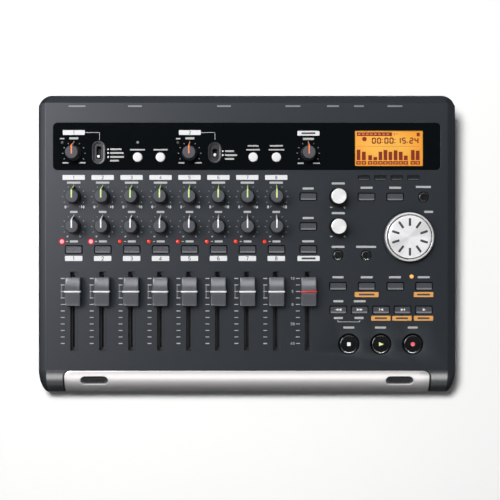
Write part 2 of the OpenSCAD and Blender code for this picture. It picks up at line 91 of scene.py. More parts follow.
def material(name, col, rough=0.5, metal=0.0, spec=0.5, coat=0.0, coat_rough=0.08, var=0.10, var_scale=90.0, grain=2600.0, bump=0.12,
             bump_mm=0.03, rvar=0.06, emit=None, emit_strength=0.0, stretch=None, aniso=0.0, coat_ior=1.5, spun_sheen=0.0, edge=None):
    """Procedural plastic, metal or paint: cloudy colour, fine grain in the surface and in its roughness."""
    m = bpy.data.materials.new(name)
    m.use_nodes = True
    nt = m.node_tree
    nt.nodes.clear()
    new, link = nt.nodes.new, nt.links.new
    out = new("ShaderNodeOutputMaterial")
    bs = new("ShaderNodeBsdfPrincipled")
    link(bs.outputs["BSDF"], out.inputs["Surface"])
    tc = new("ShaderNodeTexCoord")
    src = tc.outputs["Object"]
    if stretch:
        mp = new("ShaderNodeMapping")
        mp.inputs["Scale"].default_value = stretch
        link(src, mp.inputs["Vector"])
        src = mp.outputs["Vector"]
    cloud = new("ShaderNodeTexNoise")
    cloud.inputs["Scale"].default_value = var_scale
    cloud.inputs["Detail"].default_value = 4.0
    link(src, cloud.inputs["Vector"])
    fine = new("ShaderNodeTexNoise")
    fine.inputs["Scale"].default_value = grain
    fine.inputs["Detail"].default_value = 2.0
    link(src, fine.inputs["Vector"])
    mix = new("ShaderNodeMix")
    mix.data_type = "RGBA"
    mix.inputs[6].default_value = tuple(max(0.0, c * (1 - var)) for c in col) + (1.0,)
    mix.inputs[7].default_value = tuple(min(1.0, c * (1 + var)) for c in col) + (1.0,)
    if spun_sheen:
        # light and dark streaks that run out from the turning axis: painted highlight sectors, as spun metal spreads
        # its highlights
        sx = new("ShaderNodeVectorMath")
        sx.operation = "MULTIPLY"
        sx.inputs[1].default_value = (1.0, 1.0, 0.0)
        link(tc.outputs["Object"], sx.inputs[0])
        nv = new("ShaderNodeVectorMath")
        nv.operation = "NORMALIZE"
        link(sx.outputs["Vector"], nv.inputs[0])
        cloud.inputs["Scale"].default_value = spun_sheen
        cloud.inputs["Detail"].default_value = 5.0
        link(nv.outputs["Vector"], cloud.inputs["Vector"])
    link(cloud.outputs["Fac"], mix.inputs[0])
    base = mix.outputs[2]
    if edge:
        # backlight that falls off from the middle of a lit area: centre, half sizes, colour at the edge
        cx, cy, rx, ry, ecol = edge
        mp = new("ShaderNodeMapping")
        mp.vector_type = "TEXTURE"
        mp.inputs["Location"].default_value = (cx * MM, cy * MM, 0.0)
        mp.inputs["Scale"].default_value = (rx * MM, ry * MM, 1.0)
        link(tc.outputs["Object"], mp.inputs["Vector"])
        ln = new("ShaderNodeVectorMath")
        ln.operation = "LENGTH"
        link(mp.outputs["Vector"], ln.inputs[0])
        fall = new("ShaderNodeMapRange")
        fall.interpolation_type = "SMOOTHSTEP"
        fall.inputs["From Min"].default_value = 0.35
        fall.inputs["From Max"].default_value = 1.15
        link(ln.outputs["Value"], fall.inputs["Value"])
        em = new("ShaderNodeMix")
        em.data_type = "RGBA"
        em.inputs[7].default_value = tuple(ecol) + (1.0,)
        link(fall.outputs["Result"], em.inputs[0])
        link(base, em.inputs[6])
        base = em.outputs[2]
    link(base, bs.inputs["Base Color"])
    rr = new("ShaderNodeMapRange")
    rr.inputs["From Min"].default_value = 0.3
    rr.inputs["From Max"].default_value = 0.7
    rr.inputs["To Min"].default_value = max(0.02, rough - rvar)
    rr.inputs["To Max"].default_value = min(1.0, rough + rvar)
    link(fine.outputs["Fac"], rr.inputs["Value"])
    link(rr.outputs["Result"], bs.inputs["Roughness"])
    if bump:
        bp = new("ShaderNodeBump")
        bp.inputs["Strength"].default_value = bump
        bp.inputs["Distance"].default_value = bump_mm * MM
        link(fine.outputs["Fac"], bp.inputs["Height"])
        link(bp.outputs["Normal"], bs.inputs["Normal"])
    bs.inputs["Metallic"].default_value = metal
    bs.inputs["Specular IOR Level"].default_value = spec
    bs.inputs["Coat Weight"].default_value = coat
    bs.inputs["Coat Roughness"].default_value = coat_rough
    bs.inputs["Coat IOR"].default_value = coat_ior
    if aniso:
        bs.inputs["Anisotropic"].default_value = aniso
        bs.inputs["Anisotropic Rotation"].default_value = 0.25
        tg = new("ShaderNodeTangent")
        tg.direction_type = "RADIAL"
        tg.axis = "Z"
        link(tg.outputs["Tangent"], bs.inputs["Tangent"])
    if emit:
        bs.inputs["Emission Color"].default_value = tuple(emit) + (1.0,)
        bs.inputs["Emission Strength"].default_value = emit_strength
    return m


M_CASE = material("moulded_charcoal", (0.0126, 0.0166, 0.0210), rough=0.40, spec=0.36, var=0.07, bump=0.18, bump_mm=0.05, grain=2200)
M_NOSE = material("moulded_charcoal_edge", (0.0150, 0.0160, 0.0185), rough=0.28, spec=1.0, coat=1.0, coat_rough=0.28, coat_ior=1.8, var=0.07, bump=0.06, bump_mm=0.03, grain=2200)
# near-black on hole and slot walls, key countersinks, the gaps round the trim, the rear recess edges and the wheel's
# groove: painted shade in these recesses
M_RECESS_SHADE = material("painted_recess_shade", (0.006, 0.006, 0.007), rough=0.30, bump=0.05)
M_BASE = material("moulded_black", (0.018, 0.019, 0.021), rough=0.6, bump=0.3, bump_mm=0.06, grain=1700)
M_TRIM = material("silver_paint", (0.590, 0.570, 0.566), rough=0.42, metal=0.80, var=0.03, grain=5200, bump=0.04, bump_mm=0.01)
M_GRILLE = material("black_mesh_metal", (0.045, 0.044, 0.049), rough=0.35, metal=0.6)
M_WINDOW = material("smoked_acrylic", (0.0030, 0.0042, 0.0050), rough=0.07, spec=0.42, var=0.05, bump=0.0, rvar=0.01)
M_BEZEL = material("black_bezel", (0.012, 0.012, 0.013), rough=0.34, bump=0.08)
M_WHITE = material("white_print", (0.70, 0.705, 0.72), rough=0.55, var=0.04, grain=5000, bump=0.04)
M_PALE = material("pale_print", (0.40, 0.405, 0.41), rough=0.55, var=0.06, grain=5000, bump=0.04)
M_TICK = material("tick_print", (0.20, 0.205, 0.21), rough=0.55, var=0.06, grain=5000, bump=0.04)
M_GREY = material("grey_print", (0.10, 0.095, 0.10), rough=0.55, var=0.06, grain=5000, bump=0.04)
M_AMBER = material("amber_print", rgb(216, 152, 74), rough=0.55, var=0.06, grain=5000, bump=0.04)
M_INK = material("dark_print", (0.030, 0.030, 0.032), rough=0.55, var=0.06, grain=5000, bump=0.04)
M_KNOB = material("knob_side", (0.018, 0.0185, 0.020), rough=0.48, spec=0.4, bump=0.2, bump_mm=0.04)
M_KTOP = material("knob_top", (0.082, 0.085, 0.099), rough=0.5, spec=0.10, bump=0.15, bump_mm=0.03)
M_PGREEN = material("pointer_green", rgb(196, 224, 134), rough=0.5, var=0.04)
M_PWHITE = material("pointer_white", (0.80, 0.80, 0.80), rough=0.5, var=0.04)
M_PORANGE = material("pointer_orange", rgb(236, 120, 48), rough=0.5, var=0.04)
M_ESIDE = material("encoder_side", (0.005, 0.005, 0.006), rough=0.42, spec=0.2, bump=0.2, bump_mm=0.04)
# the encoder tops and the wheel carry broad light and dark sectors round their axis: painted highlight of spun metal
M_ETOP = material("encoder_top", (0.84, 0.84, 0.84), rough=0.32, metal=0.25, var=0.10, bump=0.02, bump_mm=0.01, aniso=0.7, spun_sheen=3.0)
M_WHEEL = material("spun_silver", (0.83, 0.83, 0.84), rough=0.34, metal=0.32, var=0.11, bump=0.02, bump_mm=0.01, aniso=0.8, spun_sheen=3.4)
M_RIM = material("silver_rim", (0.62, 0.61, 0.605), rough=0.34, metal=0.35, var=0.03, bump=0.02, bump_mm=0.01)
M_MARK = material("wheel_mark", (0.036, 0.034, 0.038), rough=0.45)
M_KEY = material("key_grey", (0.062, 0.064, 0.075), rough=0.27, spec=0.75, bump=0.10, bump_mm=0.03)
M_FKEY = material("key_charcoal", (0.0086, 0.0098, 0.0112), rough=0.26, spec=0.64, bump=0.04, bump_mm=0.02)
M_KEYD = material("key_black", (0.006, 0.006, 0.007), rough=0.20, spec=1.0, bump=0.05)
M_KEYW = material("key_white", (0.745, 0.735, 0.75), rough=0.35, var=0.03, bump=0.06)
M_TRANS = material("transport_black", (0.0030, 0.0034, 0.0040), rough=0.17, spec=1.0, bump=0.04)
M_ISTOP = material("icon_white", (0.80, 0.80, 0.80), rough=0.5, var=0.04)
M_IPLAY = material("icon_green", rgb(232, 236, 160), rough=0.5, var=0.04)
M_IREC = material("icon_red", rgb(230, 58, 80), rough=0.5, var=0.04)
M_FADER = material("fader_cap", (0.086, 0.089, 0.103), rough=0.22, spec=0.60, bump=0.06, bump_mm=0.02)
M_FLINE = material("fader_line_white", (0.84, 0.84, 0.85), rough=0.45, var=0.03)
M_FRED = material("fader_line_red", rgb(216, 42, 36), rough=0.45, var=0.04)
M_LEDON = material("led_lit", (0.80, 0.10, 0.12), rough=0.4, spec=0.2, bump=0.0, emit=(1.0, 0.24, 0.28), emit_strength=1.5)
# a glowing red ring on the panel round the lit lights: painted glow of their light
M_LED_HALO_PAINTED = material("painted_led_halo", (0.06, 0.006, 0.008), rough=0.6, spec=0.1, bump=0.0, emit=(1.0, 0.02, 0.05), emit_strength=0.40)
M_LEDR = material("led_red", (0.62, 0.030, 0.015), rough=0.25, bump=0.0, emit=(1.0, 0.05, 0.02), emit_strength=0.20)
M_LEDA = material("led_amber", (0.8, 0.40, 0.09), rough=0.25, bump=0.0, emit=(1.0, 0.5, 0.12), emit_strength=0.35)
M_LEDV = material("led_lilac", (0.24, 0.21, 0.31), rough=0.25, bump=0.0)
M_LEDO = material("led_dark", (0.060, 0.050, 0.050), rough=0.25, bump=0.0)
M_LCD = material("lcd_amber", (0.75, 0.36, 0.052), rough=0.30, var=0.08, var_scale=38, bump=0.0, emit=(1.0, 0.66, 0.14), emit_strength=0.17,
                 edge=(LCD[0] - 1.5, LCD[1] + 1.0, 25.0, 14.0, (0.72, 0.235, 0.012)))
M_LCDINK = material("lcd_segment", rgb(126, 38, 16), rough=0.5, spec=0.2, var=0.08, bump=0.0)
M_LCDFAINT = material("lcd_faint", rgb(214, 118, 60), rough=0.4, var=0.08, bump=0.0)
M_REAR = material("rear_plate_paint", (0.016, 0.016, 0.018), rough=0.5, bump=0.2, bump_mm=0.04)
M_SOCK = material("socket_black", (0.012, 0.012, 0.013), rough=0.42, bump=0.12)
M_NICKEL = material("nickel", (0.62, 0.60, 0.57), rough=0.26, metal=1.0, var=0.05, grain=4200, bump=0.08, bump_mm=0.01)
M_PHW = material("collar_white", (0.78, 0.78, 0.76), rough=0.4, var=0.04)
M_PHR = material("collar_red", (0.55, 0.02, 0.02), rough=0.4, var=0.05)
M_RUBBER = material("foot_rubber", (0.018, 0.018, 0.018), rough=0.85, bump=0.4, bump_mm=0.08, grain=1500)
M_SCREW = material("screw_steel", (0.10, 0.10, 0.105), rough=0.35, metal=1.0, var=0.08)
M_BOARD = material("board_green", (0.015, 0.075, 0.035), rough=0.45, var=0.15, var_scale=160)
# pot bodies coloured near black rather than steel, so the fader slots read dark: painted shade inside the slots
M_POT_SLOT_SHADE = material("pot_body_painted_shade", (0.010, 0.010, 0.011), rough=0.5, metal=0.0, var=0.08)
M_SWB = material("switch_body", (0.035, 0.035, 0.036), rough=0.5)
M_CAPSULE = material("capsule_cloth", (0.010, 0.010, 0.011), rough=0.8, var=0.1)


# ------------------------------------------------------------------ mesh helpers
def circle(r, n=40, cx=0.0, cy=0.0, a0=0.0):
    return [(cx + r * math.cos(a0 + 2 * math.pi * i / n), cy + r * math.sin(a0 + 2 * math.pi * i / n)) for i in range(n)]


def box2(x0, x1, y0, y1, r, n=5):
    r = max(1e-4, min(r, (x1 - x0) / 2 - 1e-4, (y1 - y0) / 2 - 1e-4))
    pts = []
    for cx, cy, a in ((x1 - r, y0 + r, -90), (x1 - r, y1 - r, 0), (x0 + r, y1 - r, 90), (x0 + r, y0 + r, 180)):
        for i in range(n + 1):
            t = math.radians(a + 90.0 * i / n)
            pts.append((cx + r * math.cos(t), cy + r * math.sin(t)))
    return pts


def rrect(w, h, r, n=5, cx=0.0, cy=0.0):
    return box2(cx - w / 2, cx + w / 2, cy - h / 2, cy + h / 2, r, n)


def ring(loop, z):
    return [(x, y, z) for x, y in loop]


def loft(rings, cap0=True, cap1=True, close=True):
    n = len(rings[0])
    v = [p for r in rings for p in r]
    f = []
    for k in range(len(rings) - 1):
        for i in range(n if close else n - 1):
            j = (i + 1) % n
            f.append((k * n + i, k * n + j, (k + 1) * n + j, (k + 1) * n + i))
    if cap0:
        f.append(tuple(reversed(range(n))))
    if cap1:
        f.append(tuple(range((len(rings) - 1) * n, len(rings) * n)))
    return v, f


def sheet(rows):
    """Quads between rows of points, not closed either way."""
    return loft(rows, False, False, False)


def lathe(profile, n=48, flutes=0, depth=0.0, span=None, caps=True):
    """Profile of (r, z) from the bottom up. Flutes are grooves along the side between the two heights in span."""
    rings = []
    for r, z in profile:
        pts = []
        for i in range(n):
            a = 2 * math.pi * i / n
            k = r
            if flutes and span and span[0] <= z <= span[1]:
                k = r - depth * (0.5 - 0.5 * math.cos(a * flutes)) ** 2
            pts.append((k * math.cos(a), k * math.sin(a), z))
        rings.append(pts)
    start, end = profile[0][0] < 1e-6, profile[-1][0] < 1e-6
    core = rings[(1 if start else 0):(len(rings) - 1 if end else len(rings))]
    v, f = loft(core, caps and not start, caps and not end)
    if start:
        v.append((0, 0, profile[0][1]))
        f += [(len(v) - 1, (i + 1) % n, i) for i in range(n)]
    if end:
        v.append((0, 0, profile[-1][1]))
        o = (len(core) - 1) * n
        f += [(len(v) - 1, o + i, o + (i + 1) % n) for i in range(n)]
    return v, f


def block(w, h, r, z0, z1, bev=0.3, cx=0.0, cy=0.0, n=5, steps=3):
    rings = [ring(rrect(w, h, r, n, cx, cy), z0)]
    for k in range(steps + 1):
        t = math.pi / 2 * k / steps
        i = bev * (1 - math.cos(t))
        rings.append(ring(rrect(w - 2 * i, h - 2 * i, max(0.05, r - i), n, cx, cy), z1 - bev + bev * math.sin(t)))
    return loft(rings)


def flat(outer, holes=(), z=0.0, extra=()):
    """A triangulated flat face with holes."""
    pts, edges, faces = [], [], []
    for loop in [outer] + list(holes):
        i0, n = len(pts), len(loop)
        pts += [Vector((p[0], p[1])) for p in loop]
        edges += [(i0 + i, i0 + (i + 1) % n) for i in range(n)]
        faces.append(list(range(i0, i0 + n)))
    pts += [Vector((p[0], p[1])) for p in extra]
    vo, eo, fo, ov, oe, of = delaunay_2d_cdt(pts, edges, faces, 1, 1e-6)
    out = []
    for f, src in zip(fo, of):
        if list(src) != [0]:
            continue
        a, b, c = (vo[i] for i in f[:3])
        area = (b.x - a.x) * (c.y - a.y) - (b.y - a.y) * (c.x - a.x)
        out.append(tuple(f) if area > 0 else tuple(reversed(f)))
    return [(p.x, p.y, z) for p in vo], out


def stroke(pts, w, z, closed=False):
    """A flat line of constant width with mitred corners."""
    n = len(pts)
    left, right = [], []
    for i in range(n):
        p = Vector(pts[i])
        dirs = []
        if closed or i > 0:
            dirs.append((p - Vector(pts[i - 1])).normalized())
        if closed or i < n - 1:
            dirs.append((Vector(pts[(i + 1) % n]) - p).normalized())
        d = (dirs[0] + dirs[-1])
        d = d.normalized() if d.length > 1e-6 else dirs[0]
        nrm = Vector((-d.y, d.x))
        k = w / 2 / max(0.45, nrm.dot(Vector((-dirs[0].y, dirs[0].x))))
        left.append(p + nrm * k)
        right.append(p - nrm * k)
    v = [(p.x, p.y, z) for p in left] + [(p.x, p.y, z) for p in right]
    f = []
    for i in range(n if closed else n - 1):
        j = (i + 1) % n
        f.append((i, n + i, n + j, j))
    return v, f


def ellipse(cx, cy, rx, ry, n=16):
    return [(cx + rx * math.cos(2 * math.pi * i / n), cy + ry * math.sin(2 * math.pi * i / n)) for i in range(n)]


SIX = [(.85, 1.46), (.68, 1.58), (.48, 1.6), (.25, 1.46), (.1, 1.15), (.05, .7), (.12, .25), (.32, .03), (.55, 0), (.8, .1), (.94, .36),
       (.93, .62), (.78, .88), (.52, .96), (.25, .86), (.08, .6)]
DIGITS = {
    "0": [(ellipse(.5, .8, .44, .8, 18), True)],
    "1": [([(.2, 1.28), (.56, 1.6), (.56, 0)], False)],
    "2": [([(.05, 1.2), (.14, 1.45), (.36, 1.6), (.64, 1.6), (.88, 1.44), (.93, 1.18), (.82, .9), (.05, 0), (.98, 0)], False)],
    "3": [([(.08, 1.4), (.32, 1.59), (.66, 1.58), (.89, 1.36), (.84, 1.06), (.5, .86), (.86, .7), (.95, .4), (.78, .1), (.42, 0), (.05, .18)], False)],
    "4": [([(.74, 0), (.74, 1.6), (.04, .42), (1.0, .42)], False)],
    "5": [([(.9, 1.6), (.18, 1.6), (.1, .86), (.36, 1.0), (.66, .98), (.9, .78), (.95, .5), (.82, .15), (.48, 0), (.06, .16)], False)],
    "6": [(SIX, False)],
    "7": [([(.05, 1.6), (.95, 1.6), (.42, 0)], False)],
    "8": [(ellipse(.5, 1.22, .37, .38, 14), True), (ellipse(.5, .42, .45, .42, 16), True)],
    "9": [([(1 - x, 1.6 - y) for x, y in SIX], False)],
}


class Geo:
    """Collects mesh parts in millimetres, then makes one Blender object of them."""

    def __init__(self):
        self.v, self.f, self.m = [], [], []

    def add(self, part, mat=0, at=(0.0, 0.0, 0.0), rot=0.0):
        vs, fs = part
        c, s = math.cos(rot), math.sin(rot)
        o = len(self.v)
        at = tuple(at) + (0.0,) * (3 - len(at))
        self.v += [(x * c - y * s + at[0], x * s + y * c + at[1], z + at[2]) for x, y, z in vs]
        self.f += [tuple(i + o for i in f) for f in fs]
        self.m += [mat] * len(fs)
        return self

    def number(self, text, cx, cy, h, w, z, mat=0):
        """A plain number, h high, centred on a point."""
        k = h / 1.6
        step = 1.45 * k
        x0 = cx - (len(text) * step - 0.45 * k) / 2
        for i, ch in enumerate(text):
            for pts, closed in DIGITS[ch]:
                self.add(stroke([(x0 + i * step + x * k, cy - h / 2 + y * k) for x, y in pts], w, z, closed), mat)

    def make(self, name, mats, body, matrix=None, slot=None, replaces=(), angle=32.0, recalc=True):
        me = bpy.data.meshes.new(name)
        me.from_pydata([(x * MM, y * MM, z * MM) for x, y, z in self.v], [], self.f)
        for m in mats:
            me.materials.append(m)
        me.polygons.foreach_set("material_index", self.m)
        bm = bmesh.new()
        bm.from_mesh(me)
        bmesh.ops.remove_doubles(bm, verts=bm.verts, dist=1.5e-6)
        bmesh.ops.dissolve_degenerate(bm, edges=bm.edges, dist=1e-7)
        if recalc:
            bmesh.ops.recalc_face_normals(bm, faces=bm.faces)
        bm.to_mesh(me)
        bm.free()
        me.shade_smooth()
        me.set_sharp_from_angle(angle=math.radians(angle))
        ob = bpy.data.objects.new(name, me)
        bpy.context.scene.collection.objects.link(ob)
        ob.matrix_world = matrix if matrix else Matrix.Identity(4)
        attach(ob, body)
        if replaces:
            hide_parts(*replaces)
        return ob


def on_panel(u, v):
    return PANEL @ Matrix.Translation((u * MM, v * MM, 0))


# ------------------------------------------------------------------ upper case
D_TOP, D_REAR, H_TOP = 5.8, 10.0, 4.6
ROWS = 44
S_END = NR * (math.radians(87.0) - math.asin((SPLIT - NZ) / NR))


def xin(s, half=128.5, r=5.1):
    """Half width of the trim seat, its two upper corners rounded."""
    if s >= r:
        return half
    return half - (r - math.sqrt(max(0.0, r * r - (r - s) ** 2)))


def nose(x, s, rad):
    """A point of the rounded front edge, s along its arc from the control surface."""
    a = math.radians(93.0) + s / NR
    return (x, NY + rad * math.cos(a), NZ + rad * math.sin(a))


def smooth(t):
    return t * t * (3 - 2 * t)


stations = []
for z in (SPLIT, 20.0, 26.0, 30.0, 32.1, 33.5):
    stations.append(((YE, z), (YE - D_REAR, min(z, 32.1)), D_REAR))
y_t, z_t = YR + ER * math.cos(math.radians(93)), ZR + ER * math.sin(math.radians(93))
rear_edge = [(YE, ZR), (YE, ZR + 0.8), (YE, z_t - 3.0), (YE - 0.08, z_t - 2.55), (YE - 0.3, z_t - 2.1), (YE - 0.65, z_t - 1.75)]
rear_edge += [(YE - 0.65 + (y_t + 0.25 - YE + 0.65) * i / 6, z_t - 0.2 - 1.55 * (1 - i / 6)) for i in range(1, 7)] + [(y_t, z_t)]
for k in range(13):
    t = k / 12
    b = math.radians(180 - 87 * t)
    stations.append((rear_edge[k], (YE - D_REAR + 2.2 + 2.2 * math.cos(b), 32.1 + 2.2 * math.sin(b)),
                     D_REAR + (D_TOP - D_REAR) * smooth(t)))
REAR_ROWS = list(range(6, 19))
y_top_r, y_top_f = YR + ER * math.cos(math.radians(93)), NY + NR * math.cos(math.radians(93))
for y in (96.0, 92.0, 88.0, 85.0, 60.0, 30.0, 0.0, -30.0, -60.0, -75.0, -83.0):
    q = y - 2.66 * max(0.0, (y - 85.0) / 13.4)
    stations.append(((y, PZ + y * TA), (q, PZ + q * TA - H_TOP), D_TOP))
for k in range(ROWS + 1):
    s = S_END * k / ROWS
    p = nose(0, s, NR)
    t = math.pi / 2 * k / ROWS
    q0 = PZ + y_top_f * TA - H_TOP
    stations.append(((p[1], p[2]), (y_top_f + (-YE + 11.0 - y_top_f) * math.sin(t), SPLIT + (q0 - SPLIT) * math.cos(t)), D_TOP))

case = Geo()
# across the sloping side band: a fine step at its inner edge, then a facet that turns down at the outside
BAND = ((0.0, 0.0), (0.03, 0.04), (0.07, 0.049), (0.18, 0.105), (0.3, 0.168), (0.45, 0.248), (0.6, 0.328), (0.72, 0.398), (0.82, 0.465), (0.9, 0.548),
        (0.95, 0.64), (0.985, 0.805), (1.0, 1.0))
for side in (-1, 1):
    rows = []
    for (py, pz), (qy, qz), d in stations:
        row = []
        for t, fq in BAND:
            row.append((side * (XW - d * (1 - t)), py + (qy - py) * (1 - math.sqrt(max(0.0, 1 - t * t))), pz + (qz - pz) * fq))
        rows.append(row)
    case.add(sheet(rows))
    wall2 = [(q[0], q[1]) for _, q, _ in stations]
    clean = [wall2[0]]
    for p in wall2[1:]:
        if (Vector(p) - Vector(clean[-1])).length > 1e-3:
            clean.append(p)
    vs, fs = flat(clean)
    case.add(([(side * XW, y, z) for y, z, _ in vs], fs))
    # rear cheek beside the socket recess, and the wall of the recess
    case.add(sheet([[(side * 132.0, YE, z), (side * (XW - D_REAR), YE, z)] for z in (SPLIT, 20.0, 26.0, 30.0, 32.1, 33.5, ZR)]))
    case.add(sheet([[(side * 132.0, YE, z), (side * 132.0, 89.8, z)] for z in (SPLIT, 33.5)]))
    # case ends beside the front trim
    rows, edge_out, edge_in = [], [], []
    for k in range(ROWS + 1):
        s = S_END * k / ROWS
        xi = xin(s)
        rows.append([nose(side * x, s, NR) for x in (XW - D_TOP, 134.0, xi + 0.25)])
        edge_out.append([nose(side * (xi + 0.25), s, NR), nose(side * xi, s, NR - 0.25)])
        edge_in.append([nose(side * xi, s, NR - 0.25), nose(side * xi, s, NR - 1.7)])
    case.add(sheet(rows), 1)
    # the trim seat's chamfer and wall take the near-black: painted shade in the gap round the trim
    case.add(sheet(edge_out), 2)
    case.add(sheet(edge_in), 2)
# rear edge and its lip
for a, b in zip(REAR_ROWS, REAR_ROWS[1:]):
    r = []
    for i in (a, b):
        (py, pz), _, d = stations[i]
        r.append([(x, py, pz) for x in (-(XW - d), -132.0, 132.0, XW - d)])
    case.add(sheet(r))
case.add(sheet([[(-132, YE, 33.5), (132, YE, 33.5)], [(-132, YE, ZR), (132, YE, ZR)]]))
case.add(sheet([[(-132, YE, 33.5), (132, YE, 33.5)], [(-132, 89.8, 33.5), (132, 89.8, 33.5)]]))
# the recess lip and its walls take the near-black: painted shade in the socket recess
case.add(sheet([[(-132, 89.8, 33.5), (132, 89.8, 33.5)], [(-132, 89.8, 32.2), (132, 89.8, 32.2)]]), 2)
for side in (-1, 1):
    case.add(sheet([[(side * 132.0, 89.8, z), (side * 129.0, 89.8, z)] for z in (SPLIT - 8.0, 33.5)]), 2)
# seat under the front trim, open where the microphones are
# the seat takes the near-black: painted shade under the trim
cols = (-118.1, -95.5, 0.0, 95.5, 118.1)
for k in range(ROWS):
    s0, s1 = S_END * k / ROWS, S_END * (k + 1) / ROWS
    r0 = [-xin(s0)] + list(cols) + [xin(s0)]
    r1 = [-xin(s1)] + list(cols) + [xin(s1)]
    for c in range(6):
        if c in (1, 4) and 3.4 < s0 and s1 < 12.6:
            continue
        case.add(sheet([[nose(r0[c], s0, NR - 1.7), nose(r0[c + 1], s0, NR - 1.7)], [nose(r1[c], s1, NR - 1.7), nose(r1[c + 1], s1, NR - 1.7)]]), 2)
case.add(sheet([[nose(-123.4, 0, NR), nose(123.4, 0, NR)], [nose(-123.4, 0, NR - 1.7), nose(123.4, 0, NR - 1.7)]]), 2)
case.make("upper_case_ends", [M_CASE, M_NOSE, M_RECESS_SHADE], "chassis", slot="case", angle=14)

v_f, v_r = y_top_f / CA, y_top_r / CA
xe = XW - D_TOP
top_outer = [(-xe, v_f), (-134.0, v_f), (-123.4, v_f), (123.4, v_f), (134.0, v_f), (xe, v_f), (xe, v_r), (132.0, v_r), (-132.0, v_r), (-xe, v_r)]
KEY_W, KEY_D = 11.0, 4.6
holes = []


def hole_c(u, v, r, depth=3.0, ch=0.2, n=32, low=None):
    holes.append((lambda o: circle(r + o, n, u, v), depth, ch, low))


def hole_r(u, v, w, h, r, depth=3.0, ch=0.22, n=4):
    holes.append((lambda o: rrect(w + 2 * o, h + 2 * o, r + o, n, u, v), depth, ch, None))


hole_r(0, WINDOW_V, 270.1, 32.8, 2.95, 1.6, 0.3, 6)
for x in TRACKS:
    hole_c(x, ROW_REVERB, 3.9, n=24)
    hole_c(x, ROW_PAN, 3.9, n=24)
    hole_c(x - 8.3, 1.6, 1.65, n=20, ch=0.12)
hole_c(115.0, -22.8, 1.65, n=20, ch=0.12)
for p in EQ_SPOTS:
    hole_c(p[0], p[1], 3.9, n=24)
for x in TRACKS + [MASTER]:
    hole_r(x - 0.02, SLOT_V, 4.5, 54.8, 0.5, 0.75, 0.3)
for p in REC_SPOTS + MIXER_SPOTS + MENU_SPOTS + EDIT_SPOTS + LOCATE_SPOTS:
    hole_r(p[0], p[1], KEY_W + 1.1, KEY_D + 1.1, 0.9)
for p in F_SPOTS:
    hole_r(p[0], p[1], 8.15, 3.15, 0.6, ch=0.12)
for p in [ROUND_SPOT] + TOOL_SPOTS:
    hole_c(p[0], p[1], 3.7)
hole_c(WHEEL[0], WHEEL[1], 18.1, 0.8, 0.3, 72)

panel = Geo()
top_holes = [h[0](h[2]) for h in holes]
for p in TRANSPORT.values():
    top_holes.append(circle(7.75, 48, p[0], p[1]))
panel.add(flat(top_outer, top_holes))
for fn, depth, ch, _ in holes:
    panel.add(loft([ring(fn(ch), 0), ring(fn(ch * 0.3), -ch * 0.45), ring(fn(0), -ch)], False, False))
    # hole walls below the chamfers take the near-black: painted shade inside the holes
    panel.add(loft([ring(fn(0), -ch), ring(fn(0), -depth)], False, False), 1)
for p in TRANSPORT.values():
    panel.add(loft([ring(circle(7.75, 48, *p), 0), ring(circle(7.55, 48, *p), -0.08)], False, False))
    # the countersinks round the transport keys take the near-black: painted shade
    panel.add(loft([ring(circle(7.55, 48, *p), -0.08), ring(circle(6.75, 48, *p), -0.95), ring(circle(6.75, 48, *p), -3)], False, False), 1)
for x in TRACKS + [MASTER]:
    lip = rrect(2.85, 54.4, 0.4, 4, x - 0.72, SLOT_V)
    panel.add(flat(rrect(4.5, 54.8, 0.5, 4, x - 0.02, SLOT_V), [lip], -0.75))
    # the walls below the slot ledges take the near-black: painted shade inside the slots
    panel.add(loft([ring(lip, -0.75), ring(lip, -3.0)], False, False), 1)
panel.add(flat(circle(18.1, 72, *WHEEL), [circle(3.9, 24, *WHEEL)], -0.8))
panel.add(loft([ring(circle(3.9, 24, *WHEEL), -0.8), ring(circle(3.9, 24, *WHEEL), -3)], False, False))
panel.make("upper_case_panel", [M_CASE, M_RECESS_SHADE], "chassis", PANEL, "case", ["upper_case"], angle=25)

# ------------------------------------------------------------------ front trim and microphones
T0, T1 = 0.55, S_END - 0.35
t_rows = [T0 + (T1 - T0) * i / 46 for i in range(47)]
t_cols = [-128 + 8 * i for i in range(33)]


def trim_outline(o):
    r = 4.5
    h, a, b = 127.6 - o, T0 + o, T1 - o
    pts = []
    for s in reversed([x for x in t_rows if x > T0 + r + 0.2][:-1] + [b]):
        pts.append((-h, s))
    pts.reverse()
    left = pts[::-1]
    arc_l = [(-h + r - r * math.cos(math.radians(t)), a + r - r * math.sin(math.radians(t))) for t in range(0, 91, 9)]
    top = [(x, a) for x in t_cols if abs(x) < 128 - r - 1]
    arc_r = [(h - r + r * math.sin(math.radians(t)), a + r - r * math.cos(math.radians(t))) for t in range(0, 91, 9)]
    right = [(h, s) for _, s in pts]
    bottom = [(x, b) for x in reversed(t_cols) if abs(x) < 127]
    return left + arc_l + top + arc_r + right + bottom


MIC_S = NR * math.radians(30.6 - 3.0)


def mic_loop(side, o):
    return rrect(19.2 + 2 * o, 6.6 + 2 * o, 3.3 + o, 8, side * 106.8, MIC_S)


def near_mic(x, s, o):
    dx, ds = max(0.0, abs(abs(x) - 106.8) - 6.3), s - MIC_S
    return dx * dx + ds * ds < (3.3 + o) ** 2


